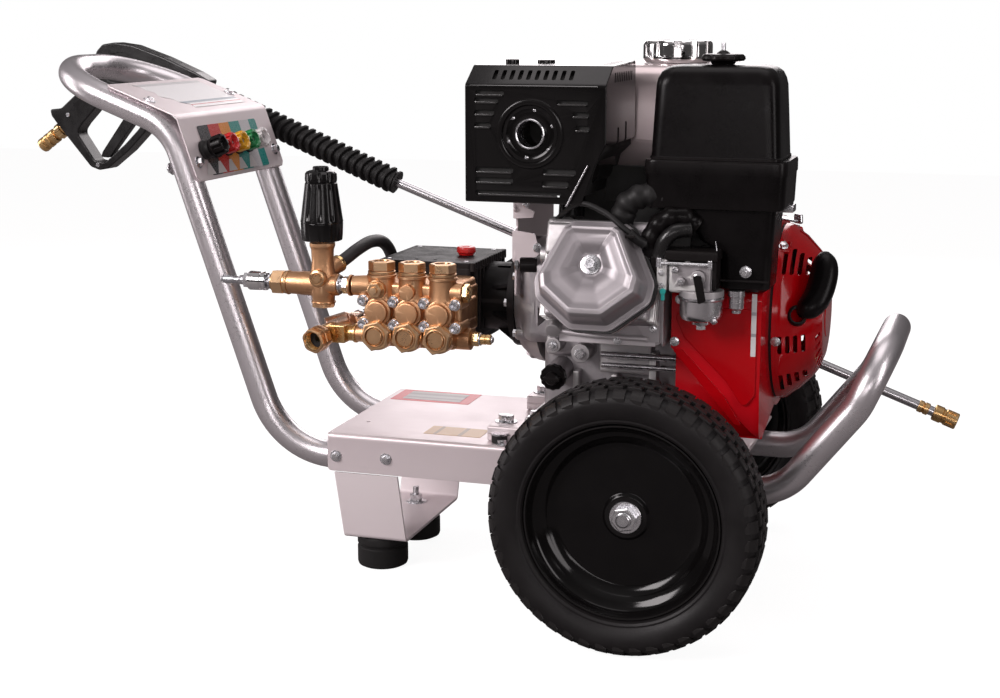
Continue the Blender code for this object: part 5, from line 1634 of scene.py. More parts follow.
def make_fuel_tank():
    """Two pressed halves meeting at a rolled seam; the cap is turned and cut into castellations."""
    low, high = Vector((-0.14, -0.055, 0.552)), Vector((0.104, 0.15, 0.6885))
    seam = 0.592

    def ring_at(inset):
        corners = [
            (low.x + inset, low.y + inset), (high.x - inset, low.y + inset), (high.x - inset, high.y - inset),
            (low.x + inset, high.y - inset)
        ]
        return rounded_outline(corners, 0.042 - inset * 0.5, 10)

    layers = [
        (0.03, low.z), (0.014, low.z + 0.0016), (0.006, low.z + 0.0075), (0.0026, low.z + 0.017),
        (0.0018, seam - 0.002),
        (0.0, seam - 0.0016), (0.0, seam + 0.0016), (0.0022, seam + 0.002), (0.003, seam + 0.04),
        (0.0065, high.z - 0.027),
        (0.0105, high.z - 0.014), (0.018, high.z - 0.005), (0.029, high.z - 0.0012), (0.04, high.z),
    ]
    rings = [(ring_at(inset), h) for inset, h in layers]
    tank = layered(rings, Matrix.Identity(4))
    place = Vector((-0.01, 0.03, high.z))
    mouth = cylinder(place - Z * 0.004, place + Z * 0.02, 0.03, sides=48)
    fixed("fuel_tank_pressed", combine(tank, cut=[mouth]), "tank_silver", TANK_SILVER, "fuel_tank")
    neck = turned(
        [
            (0.03, -0.0038), (0.0345, -0.0008), (0.042, -0.0002), (0.0425, 0.0002), (0.03, 0.0002), (0.028, -0.001),
            (0.028, -0.0038)
        ],
        place, Z, 72
    )
    fixed("filler_neck", neck, "zinc_steel", ZINC)
    base = place + Z * 0.0006
    cap = [
        (0, 0.0286), (0.033, 0.0286), (0.036, 0.0278), (0.0385, 0.0284), (0.0425, 0.0276), (0.0446, 0.025),
        (0.045, 0.022), (0.045, 0.006),
        (0.0446, 0.003), (0.0425, 0.0002), (0.0, 0.0002),
    ]
    shape = turned(cap, base, Z, 96)
    recess = turned([(0, 0.0262), (0.0325, 0.0262), (0.0345, 0.029), (0, 0.029)], base, Z, 72)
    cutter = box((0.0405, -0.0052, 0.007), (0.052, 0.0052, 0.04), 0.0016, 2)
    notches = copies(cutter, [at(base) @ Matrix.Rotation(2 * math.pi * (i + 0.35) / 12, 4, "Z") for i in range(12)])
    shape = combine(shape, cut=[recess, notches], rounding=0.0005, segments=2)
    piece("fuel_cap_castellated", shape, "fuel_cap", "chrome", CHROME, "fuel_cap")
    plate_label = sheet_on(
        (-0.08, 0.0, high.z - 0.0004), X, Y, rounded_rectangle(-0.02, -0.02, 0.016, 0.012, 0.003)
    )
    paper = striped(
        "tank_label_print", 1, [(-0.008, (0.74, 0.72, 0.7)), (0.004, (0.85, 0.48, 0.05))], (0.78, 0.4, 0.04)
    )
    fixed("tank_label", plate_label, "white_plastic", paper)
    fixed(
        "tank_label_far",
        sheet_on((0.052, -0.02, high.z - 0.0004), X, Y, rounded_rectangle(-0.014, -0.012, 0.018, 0.01, 0.003)),
        "white_plastic", striped("tank_label_far_print", 0, [(0.395, (0.8, 0.42, 0.04))], (0.72, 0.7, 0.7))
    )


def make_air_cleaner():
    """A moulded cover that widens downwards onto a lipped case, which steps in to the carburettor."""
    case_top = 0.583

    def ring(x0, x1, y0, y1, radius):
        return rounded_rectangle(x0, y0, x1, y1, radius, 8)

    top = 0.692
    cover = [
        (ring(0.004, 0.159, -0.203, -0.094, 0.016), case_top + 0.0003),
        (ring(0.004, 0.159, -0.203, -0.094, 0.016), case_top + 0.003),
        (ring(0.0052, 0.1578, -0.2018, -0.095, 0.016), case_top + 0.004),
        (ring(0.007, 0.1555, -0.1995, -0.0965, 0.017), case_top + 0.05),
        (ring(0.0085, 0.1535, -0.1975, -0.098, 0.018), top - 0.023),
        (ring(0.0098, 0.1518, -0.1958, -0.0995, 0.019), top - 0.015),
        (ring(0.013, 0.1485, -0.1925, -0.1025, 0.019), top - 0.0078),
        (ring(0.0185, 0.143, -0.187, -0.108, 0.018), top - 0.003),
        (ring(0.026, 0.1355, -0.1795, -0.115, 0.016), top - 0.0006),
        (ring(0.036, 0.1255, -0.17, -0.125, 0.012), top),
    ]
    shape = layered(cover, Matrix.Identity(4))
    hollow = box((0.012, -0.194, case_top - 0.01), (0.15, -0.101, 0.672), 0.018, 4)
    shape = combine(shape, cut=[hollow])
    fixed("air_cleaner_cover_moulded", shape, "black_plastic", MATTE_BLACK, "air_cleaner_cover")
    band = [
        (ring(0.012, 0.155, -0.195, -0.098, 0.014), 0.525),
        (ring(0.003, 0.163, -0.2015, -0.093, 0.015), 0.5262),
        (ring(0.001, 0.1645, -0.203, -0.0915, 0.016), 0.53),
        (ring(-0.0005, 0.1658, -0.2042, -0.0905, 0.016), 0.565),
        (ring(-0.002, 0.167, -0.205, -0.09, 0.017), 0.567),
        (ring(-0.002, 0.167, -0.205, -0.09, 0.017), case_top - 0.003),
        (ring(-0.0008, 0.1658, -0.2038, -0.091, 0.017), case_top - 0.0002),
        (ring(0.012, 0.155, -0.192, -0.1, 0.014), case_top - 0.0002),
    ]
    body = layered(band, Matrix.Identity(4))
    lower = [
        (ring(0.097, 0.143, -0.184, -0.116, 0.012), 0.428),
        (ring(0.09, 0.148, -0.189, -0.113, 0.014), 0.4315),
        (ring(0.0885, 0.1495, -0.1905, -0.1125, 0.014), 0.468),
        (ring(0.086, 0.15, -0.1915, -0.112, 0.014), 0.476),
        (ring(0.064, 0.1515, -0.193, -0.111, 0.014), 0.488),
        (ring(0.05, 0.153, -0.194, -0.1105, 0.014), 0.515),
        (ring(0.048, 0.154, -0.1945, -0.11, 0.014), 0.53),
    ]
    foot = layered(lower, Matrix.Identity(4))
    scoop = bar_x(-0.15, 0.455, 0.0835, 0.07, 0.024, 0.02, sides=36, rounding=0.002)
    tab = box((0.15, -0.13, 0.517), (0.167, -0.108, 0.527), 0.002, 2)
    rib = box((0.0905, -0.193, 0.44), (0.148, -0.188, 0.443), 0.0012, 2)
    fixed(
        "air_cleaner_case_moulded", combine(body, add=[foot, rib], rounding=0.0), "black_plastic", MATTE_BLACK,
        "air_cleaner_case"
    )
    fixed("air_cleaner_tab", tab, "zinc_steel", ZINC)
    fixed("air_cleaner_scoop", scoop, "black_plastic", MATTE_BLACK)
    nut = bolt((0.1212, -0.1915, 0.4527), -Y, 0.0095, 0.006, 0.0072)
    stud = bar_y(0.1212, 0.4527, -0.199, -0.201, 0.0025, sides=20)
    zinc("air_cleaner_nut", nut, stud)
    place = Vector((0.081, -0.15, top + 0.0003))
    star = [
        (0, 0.012), (0.015, 0.0125), (0.0215, 0.012), (0.024, 0.0095), (0.0245, 0.0065), (0.0225, 0.0042),
        (0.015, 0.003), (0.0135, 0.0),
        (0, 0.0),
    ]
    knob = turned(star, place, Z, 96, wobble=lambda a, r, h: 1 + 0.085 * math.cos(a * 7) if r > 0.018 else 1)
    cone = turned([(0, 0.0165), (0.004, 0.016), (0.0075, 0.0135), (0.0085, 0.012), (0, 0.012)], place, Z, 40)
    piece(
        "air_cleaner_star_knob", join(knob, cone), "air_cleaner_knob", "black_plastic", MATTE_BLACK,
        "air_cleaner_knob"
    )
    stud = cylinder(place + Z * 0.0155, place + Z * 0.0255, 0.0026, sides=24, rounding=0.0006)
    piece("air_cleaner_stud", stud, "air_cleaner_knob", "zinc_steel", ZINC)


BOWL = Vector((0.071, -0.2005, 0))


def make_carburettor():
    """Cast body with its shafts and screws, a turned bowl and the small sediment cup beside it."""
    body = box((0.034, -0.218, 0.428), (0.085, -0.176, 0.464), 0.004, 2)
    add = [
        box((0.0205, -0.221, 0.43), (0.033, -0.174, 0.468), 0.002, 2),
        box((0.025, -0.212, 0.436), (0.05, -0.18, 0.46), 0.003, 2),
        box((0.079, -0.215, 0.43), (0.086, -0.176, 0.467), 0.002, 2),
        bar_y(0.071, 0.448, -0.21, -0.227, 0.009, sides=32, rounding=0.001),
        bar_y(0.05, 0.442, -0.21, -0.223, 0.0056, sides=28, rounding=0.0008),
        bar_y(0.043, 0.456, -0.21, -0.2235, 0.0044, sides=28, rounding=0.0008),
        bar_z(BOWL.x, BOWL.y, 0.423, 0.431, 0.0265, sides=64, rounding=0.0008),
        bar_z(0.056, -0.212, 0.464, 0.472, 0.004, sides=24, rounding=0.0006),
    ]
    shape = combine(body, add=add, rounding=0.0005, segments=1)
    fixed("carburettor_body", shape, "engine_aluminium", CAST, "carburettor")
    bowl = [
        (0, 0.4238), (0.0262, 0.4238), (0.0274, 0.423), (0.0275, 0.4208), (0.0266, 0.4196), (0.0256, 0.4188),
        (0.0254, 0.404),
        (0.0248, 0.3995), (0.0225, 0.3958), (0.018, 0.3938), (0.0115, 0.3928), (0.0105, 0.3895), (0.008, 0.3885),
        (0, 0.3885),
    ]
    polished = turned(bowl, BOWL, Z, 72)
    drain = bolt(BOWL + Z * 0.3889, -Z, 0.0105, 0.005, 0.0068)
    side_drain = bolt((0.088, -0.215, 0.398), Vector((0.5, -0.6, -0.6)), 0.007, 0.0045, 0.005)
    fixed("carburettor_bowl", join(polished, drain, side_drain), "zinc_steel", STEEL)
    cup = [
        (0, 0.43), (0.01, 0.43), (0.01, 0.423), (0.009, 0.4222), (0.009, 0.409), (0.0078, 0.4075), (0.006, 0.4065),
        (0.006, 0.403), (0, 0.403),
    ]
    fixed("sediment_cup", turned(cup, (0.111, -0.19, 0), Z, 40), "zinc_steel", STEEL)
    rods = [
        tube([(0.024, -0.2235, 0.4635), (0.0845, -0.2235, 0.4635)], 0.0023, 18),
        tube(smooth_path([(0.024, -0.219, 0.47), (0.03, -0.22, 0.486), (0.033, -0.205, 0.498)], 6), 0.0011, 12),
        tube(smooth_path([(0.084, -0.215, 0.46), (0.09, -0.212, 0.474), (0.086, -0.198, 0.488)], 6), 0.0011, 12),
        bar_z(0.0845, -0.2235, 0.459, 0.469, 0.0032, sides=20, rounding=0.0006),
        bar_z(0.024, -0.2235, 0.459, 0.47, 0.0036, sides=20, rounding=0.0006),
        bolt((0.05, -0.223, 0.442), -Y, 0.0068, 0.0028),
        pan_screw((0.071, -0.227, 0.448), -Y, 0.0056, 0.0016),
        pan_screw((0.043, -0.2235, 0.456), -Y, 0.0034, 0.0014),
        bolt((0.0265, -0.2212, 0.437), -Y, 0.0062, 0.003),
        bolt((0.0265, -0.2212, 0.452), -Y, 0.0062, 0.003),
    ]
    zinc("carburettor_shafts", *rods)
    teal = [
        bar_y(0.029, 0.43, -0.22, -0.2245, 0.0036, sides=24, rounding=0.0006),
        box((0.0268, -0.224, 0.419), (0.0312, -0.22, 0.43), 0.0008, 1),
    ]
    fixed("carburettor_teal_parts", join(*teal), "green_plastic", TEAL)
    gasket = box((0.086, -0.216, 0.432), (0.0905, -0.174, 0.469), 0.001, 1)
    spacer = box((0.012, -0.215, 0.427), (0.0208, -0.174, 0.47), 0.002, 2)
    cover = box((0.029, -0.22, 0.466), (0.093, -0.176, 0.479), 0.003, 2)
    fixed("carburettor_spacers", join(gasket, spacer, cover), "black_plastic", MATTE_BLACK)


def make_engine_dressing():
    """What fills the space between head, blower and air cleaner: elbow, shield, lead, sheets."""
    # a ribbed breather elbow from the head to the air cleaner
    route = smooth_path(
        [
            (-0.03, -0.19, 0.5), (-0.022, -0.195, 0.528), (0.004, -0.192, 0.54), (0.032, -0.185, 0.532),
            (0.048, -0.18, 0.512)
        ],
        8
    )
    radii = []
    for i in range(len(route)):
        radii.append(0.0135 + (0.0018 if i % 4 < 2 else 0.0))
    fixed("breather_elbow", tube(route, radii, 36), "rubber", RUBBER)
    route = smooth_path(
        [
            (0.01, -0.2, 0.47), (0.012, -0.204, 0.494), (0.026, -0.203, 0.512), (0.046, -0.198, 0.516),
            (0.06, -0.19, 0.506)
        ],
        8
    )
    radii = [0.012 + (0.0014 if i % 6 < 3 else 0.0) for i in range(len(route))]
    fixed("intake_elbow", tube(route, radii, 36), "black_plastic", MATTE_BLACK)
    flange = plate(
        rounded_outline([(-0.022, -0.016), (0.022, -0.016), (0.026, 0.01), (0.008, 0.022), (-0.018, 0.018)], 0.006),
        0.006, (0.03, -0.184, 0.49), Vector((1, 0.15, 0)), Z, rounding=0.0015
    )
    fixed("intake_flange", flange, "black_plastic", DARK_AND_SHADE)
    horn = tube(
        smooth_path(
            [(0.022, -0.212, 0.47), (0.028, -0.215, 0.488), (0.04, -0.213, 0.5), (0.056, -0.204, 0.502)], 6
        ),
        0.0088, 28
    )
    fixed("intake_horn", horn, "black_plastic", GUN_BLACK)
    # the heat shield and control plate behind them, in near-black; the screen fills the gap under the tank with
    # painted shade
    shield = plate(
        rounded_outline([(-0.035, 0.44), (0.09, 0.44), (0.09, 0.52), (0.018, 0.528), (-0.035, 0.52)], 0.006), 0.003,
        (0, -0.15, 0), X, Z, rounding=0.0008
    )
    tray = box((-0.04, -0.15, 0.523), (0.012, -0.06, 0.5265), 0.001, 1)
    wall = plate(rounded_rectangle(-0.13, 0.47, 0.014, 0.545, 0.004), 0.003, (0, -0.1, 0), X, Z, rounding=0.0006)
    shade_screen = box((-0.072, -0.104, 0.52), (0.016, -0.1, 0.566), 0.001, 1)
    fixed("heat_shield_and_shade_screen", join(shield, tray, wall, shade_screen), "black_plastic", DARK_AND_SHADE)
    # the spark lead over the cover's shoulder, with its boot
    lead = smooth_path(
        [
            (-0.12, -0.17, 0.5), (-0.08, -0.205, 0.528), (-0.045, -0.215, 0.52), (-0.018, -0.222, 0.502),
            (0.004, -0.216, 0.485), (0.014, -0.19, 0.47)
        ],
        8
    )
    boot = tube(
        smooth_path([(-0.012, -0.224, 0.498), (-0.004, -0.219, 0.49), (0.004, -0.214, 0.484)], 6), 0.006, 24
    )
    fixed("spark_lead", join(tube(lead, 0.0034, 20), boot), "rubber", RUBBER)
    clip = box((-0.016, -0.23, 0.492), (-0.004, -0.214, 0.496), 0.001, 1)
    fixed("spark_lead_clip", clip, "black_plastic", MATTE_BLACK)
    # the grey lower sheet: a folded lip under the head that leads the air away
    outline = [
        (-0.142, 0.43), (-0.134, 0.398), (-0.112, 0.366), (-0.06, 0.358), (0.01, 0.356), (0.022, 0.36),
        (0.024, 0.405), (0.018, 0.43),
        (-0.01, 0.452), (-0.06, 0.44),
    ]
    sheet = plate(rounded_outline(outline, 0.008, 6), 0.0026, (0, -0.189, 0), X, Z, rounding=0.0008)
    lip = plate(
        rounded_outline(
            [(-0.19, 0.3745), (-0.1905, 0.356), (-0.06, 0.354), (-0.06, 0.3566), (-0.187, 0.359), (-0.187, 0.3745)],
            0.001, 3
        ),
        0.12, (-0.046, 0, 0), Y, Z
    )
    bead = tube([(-0.112, -0.1935, 0.37), (-0.06, -0.1945, 0.366), (0.006, -0.1945, 0.3655)], 0.0032, 16)
    flap = plate(
        rounded_outline([(-0.02, 0.402), (0.02, 0.402), (0.02, 0.362), (0.004, 0.362)], 0.003, 3), 0.0026,
        (0, -0.1925, 0), X, Z, rounding=0.0008
    )
    side = plate(
        rounded_outline([(-0.19, 0.43), (-0.12, 0.44), (-0.06, 0.4), (-0.06, 0.356), (-0.19, 0.356)], 0.006),
        0.0026, (0.0225, 0, 0), Y, Z, rounding=0.0008
    )
    left_wall = plate(
        rounded_outline([(-0.19, 0.43), (-0.1, 0.436), (-0.08, 0.38), (-0.19, 0.372)], 0.006), 0.0026,
        (-0.135, 0, 0), Y, Z, rounding=0.0008
    )
    fixed("lower_air_sheet", join(sheet, lip, bead, flap, side, left_wall), "engine_aluminium", ENGINE_SILVER)
    screws = [
        bolt((-0.0316, -0.1946, 0.3625), -Y, 0.0075, 0.003, 0.0055),
        bolt((0.012, -0.194, 0.378), -Y, 0.006, 0.003, 0.0045)
    ]
    zinc("lower_air_sheet_bolts", *screws)
    knob = cylinder((-0.112, -0.189, 0.375), (-0.112, -0.201, 0.37), 0.0095, sides=32, rounding=0.002)
    fixed("lower_air_boss", knob, "engine_aluminium", CAST)


def make_controls():
    place = Vector((0.118, -0.02, 0.5005))
    lever = plate(
        rounded_outline([(-0.008, -0.004), (0.004, 0.008), (0.052, -0.048), (0.043, -0.057)], 0.0035, 6), 0.0028,
        place, X, Y, rounding=0.0006
    )
    hub = turned([(0, 0.004), (0.005, 0.004), (0.0068, 0.003), (0.007, -0.0032), (0, -0.0032)], place, Z, 36)
    tip = plate(
        rounded_outline([(-0.008, -0.004), (0.008, -0.004), (0.007, 0.008), (-0.007, 0.008)], 0.003), 0.004,
        place + Vector((0.0475, -0.0525, 0.001)), Vector((0.68, -0.73, 0)), Z, rounding=0.001
    )
    piece("throttle_lever_bent", join(lever, hub), "throttle_lever", "zinc_steel", ZINC, "throttle_lever")
    piece("throttle_lever_tip", tip, "throttle_lever", "zinc_steel", ZINC)
    post = bar_z(place.x, place.y, 0.494, 0.4968, 0.006, sides=24, rounding=0.0005)
    fixed("throttle_post", post, "zinc_steel", ZINC)
    place = Vector((0.071, -0.2315, 0.448))
    arm = plate(
        rounded_outline([(-0.005, 0.004), (0.005, 0.004), (0.011, -0.026), (0.002, -0.03)], 0.0025, 6), 0.0038,
        place, X, Z, rounding=0.0008
    )
    piece("choke_lever_moulded", arm, "choke_lever", "black_plastic", MATTE_BLACK, "choke_lever")


# ---------------------------------------------------------------- pump
PUMP_X, PUMP_PITCH, PLUNGER_R, THROW = -0.3095, 0.0415, 0.009, 0.007
MANIFOLD_LEFT, MANIFOLD_RIGHT, MANIFOLD_BACK = -0.374, -0.2475, -0.0803
CAP_Y, CAP_BASE, CASE_TOP = -0.163, 0.424, 0.43
INLET_BASE = Vector((-0.4195, -0.17, 0.345))
INLET_OUT = Vector((-0.2, -0.97, -0.12)).normalized()
UNLOADER = Vector((-0.429, -0.17, 0.408))
COLUMNS = [PUMP_X + (i - 1) * PUMP_PITCH for i in range(3)]
SCREW_COLUMNS = (COLUMNS[0] - PUMP_PITCH / 2, *(x + PUMP_PITCH / 2 for x in COLUMNS))
SCREW_ROWS = (0.3905, 0.3605)


def make_pump_case():
    """The black case: a rimmed lid with scalloped fins, ribs, and the bell to the engine."""
    front = MANIFOLD_BACK + 0.0003
    body = box((-0.386, front, 0.322), (-0.259, 0.06, CASE_TOP - 0.006), 0.004)
    add = []
    lid_fins = []
    steps = 14
    for i in range(steps + 1):
        y = front + 0.006 + i * (0.062 - front - 0.008) / steps
        lid_fins.append(bar_z(-0.2575, y, CASE_TOP - 0.012, CASE_TOP - 0.0004, 0.0042, sides=16, rounding=0.0005))
    lid = plate(
        rounded_rectangle(-0.388, front + 0.0005, -0.2585, 0.062, 0.005),
        0.008, (0, 0, CASE_TOP - 0.0044), X, Y, rounding=0.0012,
    )
    add.append(lid)
    for i in range(9):
        y = front + 0.01 + i * 0.015
        add.append(box((-0.262, y, 0.336), (-0.253, y + 0.0046, 0.422), 0.0014, 2))
    add += [
        bar_x(0, CRANK.z, -0.263, ENGINE_LEFT - 0.0003, 0.046, sides=72),
        bar_x(0, CRANK.z, -0.214, ENGINE_LEFT - 0.0003, 0.066, sides=72, rounding=0.0012),
    ]
    for i in range(8):
        rib = [(-0.252, 0.038), (-0.2055, 0.038), (-0.2055, 0.064), (-0.214, 0.064)]
        rib = plate(rib, 0.005, CRANK, X, spoke(22.5 + 45 * i))
        add.append(rib)
    for x in (-0.372, -0.268):
        add.append(box((x - 0.008, -0.06, 0.316), (x + 0.008, 0.05, 0.326), 0.002, 2))
    cut = [along_crank(-0.374, -0.2585, 0.034, 48), along_crank(-0.262, -0.19, 0.0203, 48)]
    for x in COLUMNS:
        cut.append(bar_y(x, CRANK.z, -0.1, -0.02, PLUNGER_R + 0.0003, sides=32))
    cut += [
        plate(
            rounded_rectangle(-0.383, front + 0.006, -0.264, 0.0565, 0.004),
            0.002, (0, 0, CASE_TOP + 0.0004), X, Y,
        ),
        join(
            *slot_prisms((-0.34, -0.062, CASE_TOP), X, Y, [(0, 0, 0.003, 0.003), (0.026, 0, 0.003, 0.003)], 0.004)
        ),
    ]
    case = combine(body, add=add, cut=cut, rounding=0.0005, segments=1)
    fixed("pump_case", join(case, *lid_fins), "pump_black", PUMP_BLACK, "pump_crankcase")
    bolts = [
        bolt((-0.2132, 0.055 * math.cos(a), CRANK.z + 0.055 * math.sin(a)), -X, 0.01, 0.005, 0.008)
        for a in (0.0, 1.57, 3.14, 4.71)
    ]
    for x, y in ((-0.378, front + 0.012), (-0.269, front + 0.012), (-0.378, 0.05), (-0.269, 0.05), (-0.32, 0.05)):
        bolts.append(pan_screw((x, y, CASE_TOP - 0.0006), Z, 0.0036, 0.0014))
    zinc("pump_case_bolts", *bolts)
    place = Vector((-0.288, -0.01, CASE_TOP + 0.0003))
    cap = [
        (0, 0.0118), (0.0045, 0.0118), (0.0052, 0.0112), (0.0112, 0.0112), (0.0128, 0.0102), (0.0134, 0.0085),
        (0.0134, 0.004), (0.0126, 0.003),
        (0.011, 0.0026), (0.01, 0.0), (0, 0),
    ]
    knob = turned(
        cap, place, Z, 96, wobble=lambda a, r, h: 1 - 0.045 * abs(math.sin(a * 3)) ** 0.5 if r > 0.0112 else 1
    )
    piece("pump_oil_cap_moulded", knob, "oil_cap", "red_plastic", PLASTIC["red"], "pump_oil_cap")
    sight = pipe((-0.3095, 0.0602, 0.365), (-0.3095, 0.0655, 0.365), 0.013, 0.0085, 48)
    fixed("pump_sight_ring", sight, "brass", BRASS)
    glass = turned([(0, 0.0), (0.0088, 0.0), (0.0088, 0.003), (0, 0.0036)], (-0.3095, 0.0602, 0.365), Y, 40)
    fixed("pump_sight_disc", glass, "red_plastic", PLASTIC["red"])


def make_pump_drive():
    lobes = []
    for i, x in enumerate(COLUMNS):
        turn = math.radians(120 * i)
        shift = spoke(120 * i) * THROW
        middle = Vector((x, 0, CRANK.z)) + shift
        half = X * 0.009
        lobes.append(cylinder(middle - half, middle + half, 0.024, sides=56, rounding=0.0008))
        rear = -0.0455 + THROW * math.cos(turn)
        rod = bar_y(x, CRANK.z, rear - 0.105, rear, PLUNGER_R, sides=48, rounding=0.0008)
        piece(f"plunger_{i + 1}_polished", rod, f"plunger_{i + 1}", "ceramic", CERAMIC, f"plunger_{i + 1}")
    shaft = bar_x(0, CRANK.z, -0.37, -0.205, 0.02, sides=56)
    bore = bar_x(0, CRANK.z, -0.264, -0.19, 0.013, sides=48)
    piece("pump_shaft_turned", combine(shaft, add=lobes, cut=[bore]), "crank", "zinc_steel", STEEL, "pump_shaft")


def make_manifold():
    """The cast head: three columns with their valve bosses and discs, a slab behind, and the side ports."""
    body = box((MANIFOLD_LEFT + 0.002, -0.168, 0.33), (MANIFOLD_RIGHT - 0.002, MANIFOLD_BACK, 0.414), 0.006)
    add = [box((MANIFOLD_LEFT, -0.12, 0.345), (MANIFOLD_RIGHT, MANIFOLD_BACK, 0.405), 0.004)]
    for i, x in enumerate(COLUMNS):
        boss = [
            (0, -0.05), (0.0188, -0.05), (0.0188, -0.03), (0.0178, -0.024), (0.0172, -0.006), (0.0178, -0.004),
            (0.0188, -0.0034),
            (0.0188, -0.0008), (0.018, 0.0), (0, 0.0),
        ]
        add += [
            turned(boss, (x, CAP_Y + 0.002, CAP_BASE), Z, 56),
            bar_y(x, 0.377, -0.15, -0.1795, 0.0182, sides=56, rounding=0.002),
            bar_y(x, 0.377, -0.17, -0.185, 0.0146, sides=56, rounding=0.0022),
            bar_y(x, 0.347, -0.15, -0.18, 0.0196, sides=56, rounding=0.0015),
            box((x - 0.015, -0.174, 0.34), (x + 0.015, -0.15, 0.412), 0.005),
        ]
        if i == 1:
            add.append(bar_y(x, 0.4045, -0.17, -0.1838, 0.01, sides=44, rounding=0.0012))
    for x in SCREW_COLUMNS:
        for z in SCREW_ROWS:
            add.append(bar_y(x, z, -0.14, -0.174, 0.0086, sides=36, rounding=0.0008))
    add += [
        cylinder((-0.366, -0.163, 0.408), (-0.389, -0.168, 0.408), 0.0135, 0.0125, sides=48, rounding=0.0012),
        bar_x(-0.168, 0.408, -0.389, -0.3925, 0.0138, sides=48, rounding=0.0008),
        bar_x(-0.16, 0.404, -0.256, -0.24, 0.0132, sides=48, rounding=0.001),
        bar_x(-0.15, 0.343, -0.256, -0.2335, 0.014, sides=48, rounding=0.001),
        box((-0.256, -0.166, 0.362), (-0.242, -0.1, 0.392), 0.004),
        bar_x(-0.165, 0.345, -0.37, -0.386, 0.011, sides=44, rounding=0.001),
        bar_x(-0.165, 0.345, -0.355, -0.372, 0.0145, sides=44, rounding=0.001),
    ]
    cut = [bar_y(x, CRANK.z, -0.168, -0.07, PLUNGER_R + 0.0003, sides=32) for x in COLUMNS]
    shape = combine(body, add=add, cut=cut, rounding=0.0008, segments=2, angle=35)
    fixed("manifold_cast", shape, "brass", CAST_BRASS, "pump_manifold")
    for i, x in enumerate(COLUMNS):
        place = Vector((x, CAP_Y + 0.002, CAP_BASE + 0.0003))
        collar = turned(
            [(0, 0.0), (0.0172, 0.0), (0.0178, 0.0006), (0.0178, 0.0034), (0.017, 0.0042), (0, 0.0042)], place, Z,
            64
        )
        cap = hexagon(place + Z * 0.004, place + Z * 0.0164, 0.03, 0.0016, 0.25)
        well = turned([(0, 0.0148), (0.0098, 0.0148), (0.0108, 0.018), (0, 0.018)], place, Z, 48)
        fixed(
            f"discharge_cap_{i + 1}_machined", join(collar, combine(cap, cut=[well])), "brass", BRONZE,
            f"discharge_cap_{i + 1}"
        )
    caps = []
    for x in COLUMNS:
        start = Vector((x, -0.18, 0.347))
        cap = hexagon(start, start - Y * 0.0105, 0.0345, 0.0018, 0.28)
        ring_cut = turned([(0.0108, 0.008), (0.0122, 0.008), (0.0122, 0.012), (0.0108, 0.012)], start, -Y, 56)
        flange = turned([(0, 0.0), (0.0192, 0.0), (0.0192, 0.0022), (0.0184, 0.0028), (0, 0.0028)], start, -Y, 64)
        rim = turned(
            [(0.0124, 0.01), (0.0136, 0.01), (0.014, 0.0112), (0.0136, 0.0124), (0.0126, 0.0126)], start, -Y, 56
        )
        disc = turned([(0, 0.009), (0.0104, 0.009), (0.0104, 0.0116), (0.0098, 0.0122), (0, 0.0122)], start, -Y, 56)
        caps += [combine(cap, cut=[ring_cut]), flange, rim, disc]
    plug_at = Vector((COLUMNS[0] - 0.0005, -0.18, 0.406))
    caps += [
        cylinder(plug_at + Y * 0.006, plug_at - Y * 0.002, 0.012, sides=44, rounding=0.0008),
        hexagon(plug_at - Y * 0.0016, plug_at - Y * 0.009, 0.018, 0.0016, 0.1),
        turned([(0, 0.0), (0.005, 0.0), (0.0046, 0.003), (0, 0.0036)], plug_at - Y * 0.0088, -Y, 32),
    ]
    fixed("inlet_caps", join(*caps), "brass", BRONZE)
    screws = []
    for x in SCREW_COLUMNS:
        for z in SCREW_ROWS:
            washer = turned(
                [(0, 0.0), (0.0072, 0.0), (0.0074, 0.0006), (0.0072, 0.0014), (0, 0.0014)], (x, -0.1739, z), -Y, 36
            )
            screws += [washer, socket_screw((x, -0.175, z), -Y, 0.006, 0.0068)]
    zinc("manifold_screws", *screws)
    # yellow brass plug and the valve that opens when the pump runs hot
    plug = hexagon((-0.24, -0.16, 0.404), (-0.2325, -0.16, 0.404), 0.021, 0.0015, 0.2)
    disc = bar_x(-0.16, 0.404, -0.2327, -0.2312, 0.006, sides=32)
    fixed("side_plug", join(plug, disc), "brass", BRASS)
    seat = hexagon((-0.2335, -0.147, 0.343), (-0.2235, -0.147, 0.343), 0.0165, 0.0012, 0.1)
    nose = [
        (0, 0.0), (0.0058, 0.0), (0.0066, 0.0008), (0.0066, 0.006), (0.006, 0.0066), (0.006, 0.0078),
        (0.0066, 0.0084), (0.0066, 0.0128), (0.0058, 0.0136),
        (0, 0.0136),
    ]
    barrel = turned(nose, (-0.2215, -0.147, 0.343), X, 44)
    fixed("thermal_valve_barrel", join(seat, barrel), "brass", BRASS, "thermal_valve")
    tip = turned(
        [(0, 0.0), (0.004, 0.0), (0.004, 0.0022), (0.003, 0.003), (0, 0.0034)], (-0.2081, -0.147, 0.343), X, 32
    )
    band = bar_x(-0.147, 0.343, -0.2236, -0.2213, 0.0082, sides=40, rounding=0.0005)
    zinc("thermal_valve_steel", tip, band)
